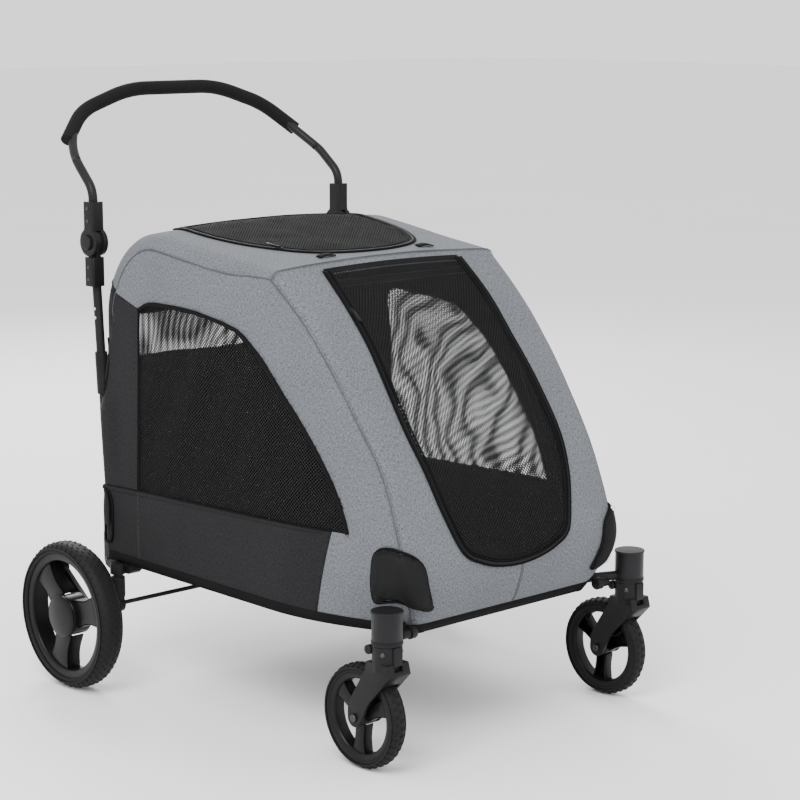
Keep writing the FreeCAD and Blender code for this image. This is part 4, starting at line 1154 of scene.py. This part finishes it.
def build_wheels():
    for label, side in SIDES:
        tread = {"seat": 109.8, "make": block_rows, "depth": 0.9}
        build_tyre(f"rear_tread_{label}", f"rear_wheel_{label}", f"rear_tyre_{label}", 17, 54, tread)
        centre = middle(f"rear_rim_{label}")
        bm = bmesh.new()
        spun(bm, rim_profile(18.5, 109.2, 12), centre, 120)
        hub = [(-21, 5), (-21, 33), (-17, 36), (17, 36), (21, 33), (21, 5)]
        spun(bm, hub, centre, 64)
        solid(bm)
        for k in range(3):
            spoke(bm, centre, math.radians(-45 + 120 * k), REAR_SPOKE, side)
        bmesh.ops.recalc_face_normals(bm, faces=bm.faces)
        softened(bm, 1.0, 2, 32)
        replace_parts(from_bmesh(bm, f"rear_wheel_disc_{label}", GLOSSY, f"rear_wheel_{label}"),
                    f"rear_rim_{label}")
        # domed hub cap
        face = centre.x + side * 21.1
        bm = bmesh.new()
        crown = [(0, 0.01), (0, 38), (2.0, 38), (3.2, 37), (4.6, 33), (5.8, 27), (7.0, 19), (7.7, 11),
                 (8.0, 5), (8.0, 0.01)]
        spun(bm, [(side * a, r) for a, r in crown], Vector((face, centre.y, centre.z)), 64)
        solid(bm)
        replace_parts(from_bmesh(bm, f"hub_dome_{label}", GLOSSY, f"rear_wheel_{label}"), f"hub_cap_{label}")
        # front wheel
        tread = {"seat": 68.7, "make": wavy_rows, "depth": 1.2}
        build_tyre(f"front_tread_{label}", f"front_wheel_{label}", f"front_tyre_{label}", 12, 40, tread)
        centre = middle(f"front_rim_{label}")
        bm = bmesh.new()
        spun(bm, rim_profile(12.5, 68.2, 8), centre, 96)
        hub = [(-15.5, 4.3), (-15.5, 13), (-13.5, 15), (13.5, 15), (15.5, 13), (15.5, 4.3)]
        spun(bm, hub, centre, 48)
        solid(bm)
        for k in range(3):
            spoke(bm, centre, math.radians(-55 + 120 * k), FRONT_SPOKE, side)
        bmesh.ops.recalc_face_normals(bm, faces=bm.faces)
        softened(bm, 0.7, 2, 32)
        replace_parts(from_bmesh(bm, f"front_wheel_disc_{label}", GLOSSY, f"front_wheel_{label}"),
                    f"front_rim_{label}")


# ---- small fittings ----

def dome(bm, centre, axis, radius, height):
    """A rivet or screw head that stands on a face."""
    profile = [(-1.0, 0.01), (-1.0, radius), (height * 0.35, radius), (height * 0.75, radius * 0.8),
               (height, radius * 0.4), (height, 0.01)]
    spun(bm, profile, Vector(centre), 20, axis)


def rivets(name, material, body, places, axis, radius, height):
    bm = bmesh.new()
    for place in places:
        dome(bm, place, axis, radius, height)
    solid(bm)
    return from_bmesh(bm, name, material, body)


CASTER_Y = -440.0


def dress_uprights(label, side):
    """Rivets at the handle's pivot, and the two studs that set the handle's height."""
    low, high = corners(f"hinge_sleeve_{label}")
    mid_y = (low.y + high.y) / 2
    away = (side, 0, 0)
    rivets(f"lower_rivets_{label}", BOLT, "uprights", [(side * 296.2, mid_y, z) for z in (710, 731)],
           away, 3.2, 1.6)
    rivets(f"upper_rivets_{label}", BOLT, "handle", [(side * 296.2, mid_y, z) for z in (812, 834)],
           away, 3.2, 1.6)
    studs = []
    for z in (657, 641):
        studs.append((side * (260 + (z - 245) * TUBE_LEAN + 7.6), 316.4, z))
    rivets(f"height_studs_{label}", STEEL, "uprights", studs, away, 3.0, 2.2)


def dress_caster(label):
    """Screws round the swivel housing, with a round ear on each side."""
    post = middle(f"caster_post_{label}")
    for k, way in ((1, 1), (2, -1)):
        facing = Vector((way * 0.86, -0.5, 0)).normalized()
        spot = Vector((post.x, CASTER_Y, 200)) + facing * 23.8
        rivets(f"housing_screw_{label}_{k}", BOLT, f"caster_{label}", [spot], facing, 3.6, 1.4)
        bm = bmesh.new()
        ear = Vector((post.x + way * 15, CASTER_Y + 21, 203))
        spun(bm, [(way * a, r) for a, r in ((0, 0.01), (0, 7.5), (7, 7.5), (8.5, 6), (8.5, 0.01))],
             ear, 32)
        dome(bm, ear + Vector((way * 8.4, 0, 0)), (way, 0, 0), 3.4, 1.3)
        solid(bm)
        from_bmesh(bm, f"housing_ear_{label}_{k}", PLASTIC, f"caster_{label}")


def dress_base(label, side):
    """Rings on the caster post, the rail's end joint, and the bolts of the rear strut and bracket."""
    post = middle(f"caster_post_{label}")
    away = (side, 0, 0)
    bm = bmesh.new()
    for z in (1.5, -1.5):
        ring = [(z - 0.9, 24.2), (z - 0.9, 25.3), (z + 0.9, 25.3), (z + 0.9, 24.2)]
        spun(bm, ring, Vector((post.x, CASTER_Y, 216)), 64, (0, 0, 1))
    solid(bm)
    from_bmesh(bm, f"post_rings_{label}", PAINT, "base")
    bm = bmesh.new()
    sleeve = [(0, 0.01), (0, 8.0), (16, 8.0), (16, 10.2), (26, 10.2), (28, 9.0), (28, 0.01)]
    spun(bm, sleeve, Vector((side * 238, -426, 215)), 40, (-side, 0, 0))
    solid(bm)
    from_bmesh(bm, f"rail_joint_{label}", PLASTIC, "base")
    strut = middle(f"rear_strut_{label}")
    rivets(f"strut_bolt_{label}", BOLT, "base", [(side * 292.4, strut.y, 168)], away, 3.6, 1.8)
    bolts = [(side * 271.2, 262, 202), (side * 271.2, 318, 204)]
    rivets(f"bracket_bolts_{label}", BOLT, "base", bolts, away, 4.0, 2.0)
    rivets(f"fold_pin_head_{label}", BOLT, "base", [(side * 270.9, 315, 245)], away, 5.5, 2.4)


def build_fittings():
    for label, side in SIDES:
        dress_uprights(label, side)
        dress_caster(label)
        dress_base(label, side)


def build_grip():
    line = [(263, 420, 945.5), (208, 453.5, 995), (99.84, 460, 1031)]
    line = line + [(-x, y, z) for x, y, z in reversed(line)]
    path = rounded_path(line, [110, 250, 250, 110])
    grip = tube(path, 12.8, "foam_sleeve", FOAM, "handle", sides=24)
    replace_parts(grip, "foam_grip")
    for k, at in enumerate((3, len(path) - 4)):
        bm = bmesh.new()
        axis = (path[at + 1] - path[at]).normalized()
        ring = [(-2.2, 12.0), (-2.2, 13.0), (2.2, 13.0), (2.2, 12.0)]
        spun(bm, ring, path[at], 40, axis)
        solid(bm)
        from_bmesh(bm, f"grip_collar_{k + 1}", PLASTIC, "handle")


# ---- the frame's own parts ----

FINISHES = {
    PAINT: ["base_rail", "handle_tube", "front_bow", "rear_axle"],
    BOARD: ["floor_board"],
}
SIDED = {
    PAINT: ["upright_tube", "rear_strut", "front_arm", "caster_post"],
    PLASTIC: ["rear_bracket", "strut_foot", "fold_knuckle", "hinge_sleeve", "handle_knuckle", "fold_lock",
              "handle_button", "brake_pedal", "caster_fork", "swivel_lock"],
    BOLT: ["caster_bolt"],
}


def dress_frame():
    wanted = {node: material for material, nodes in FINISHES.items() for node in nodes}
    for material, stems in SIDED.items():
        wanted.update({f"{stem}_{label}": material for stem in stems for label, _ in SIDES})
    for node, material in wanted.items():
        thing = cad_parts[node]
        thing.data.materials.clear()
        thing.data.materials.append(material)
        thing.data.shade_smooth()
        weld = thing.modifiers.new("Weld", "WELD")
        weld.merge_threshold = 0.00002
        soft = thing.modifiers.new("Soft edges", "BEVEL")
        soft.width = 0.0008
        soft.segments = 2
        soft.limit_method = "ANGLE"
        soft.angle_limit = math.radians(32)
        soft.harden_normals = True


# ---- light and camera ----

def build_stage():
    bm = bmesh.new()
    bmesh.ops.create_grid(bm, x_segments=1, y_segments=1, size=30)
    mesh = bpy.data.meshes.new("floor")
    bm.to_mesh(mesh)
    bm.free()
    floor = bpy.data.objects.new("floor", mesh)
    bpy.context.scene.collection.objects.link(floor)
    pale, tree, shader = new_material("pale floor", roughness=0.7)
    tone = ramp(tree, pattern(tree, "Object", 0.8), ((0.3, (0.9, 0.9, 0.9)), (0.7, (0.92, 0.92, 0.92))))
    tree.links.new(tone, shader.inputs["Base Color"])
    mesh.materials.append(pale)
    world = bpy.data.worlds.new("white room")
    world.use_nodes = True
    world.node_tree.nodes["Background"].inputs["Color"].default_value = (1, 1, 1, 1)
    world.node_tree.nodes["Background"].inputs["Strength"].default_value = 1.5
    bpy.context.scene.world = world
    target = Vector((0, 0, 0.45))
    for name, place, size, power in (("key", (-2.6, -1.4, 3.4), 2.2, 170),
                                     ("front", (0.6, -4.0, 2.2), 2.5, 35),
                                     ("rim", (1.5, 3.2, 2.6), 1.6, 110)):
        lamp = bpy.data.lights.new(name, "AREA")
        lamp.size = size
        lamp.energy = power
        light = bpy.data.objects.new(name, lamp)
        light.location = place
        light.rotation_euler = (target - light.location).to_track_quat("-Z", "Y").to_euler()
        bpy.context.scene.collection.objects.link(light)


def build_camera():
    lens = bpy.data.cameras.new("camera")
    lens.lens = 98.92
    lens.sensor_width = 36
    camera = bpy.data.objects.new("camera", lens)
    camera.location = (-2.4830, -2.8612, 1.1930)
    camera.rotation_euler = (math.radians(90 - 10.35), 0, math.radians(-42.64))
    bpy.context.scene.collection.objects.link(camera)
    bpy.context.scene.camera = camera


build_stage()
build_camera()
dress_frame()
build_cover()
build_hatch()
build_front()
build_door()
for label, side in SIDES:
    build_side(label, side)
    build_pads(label, side)
build_bottom()
build_mat()
build_wheels()
build_fittings()
build_grip()
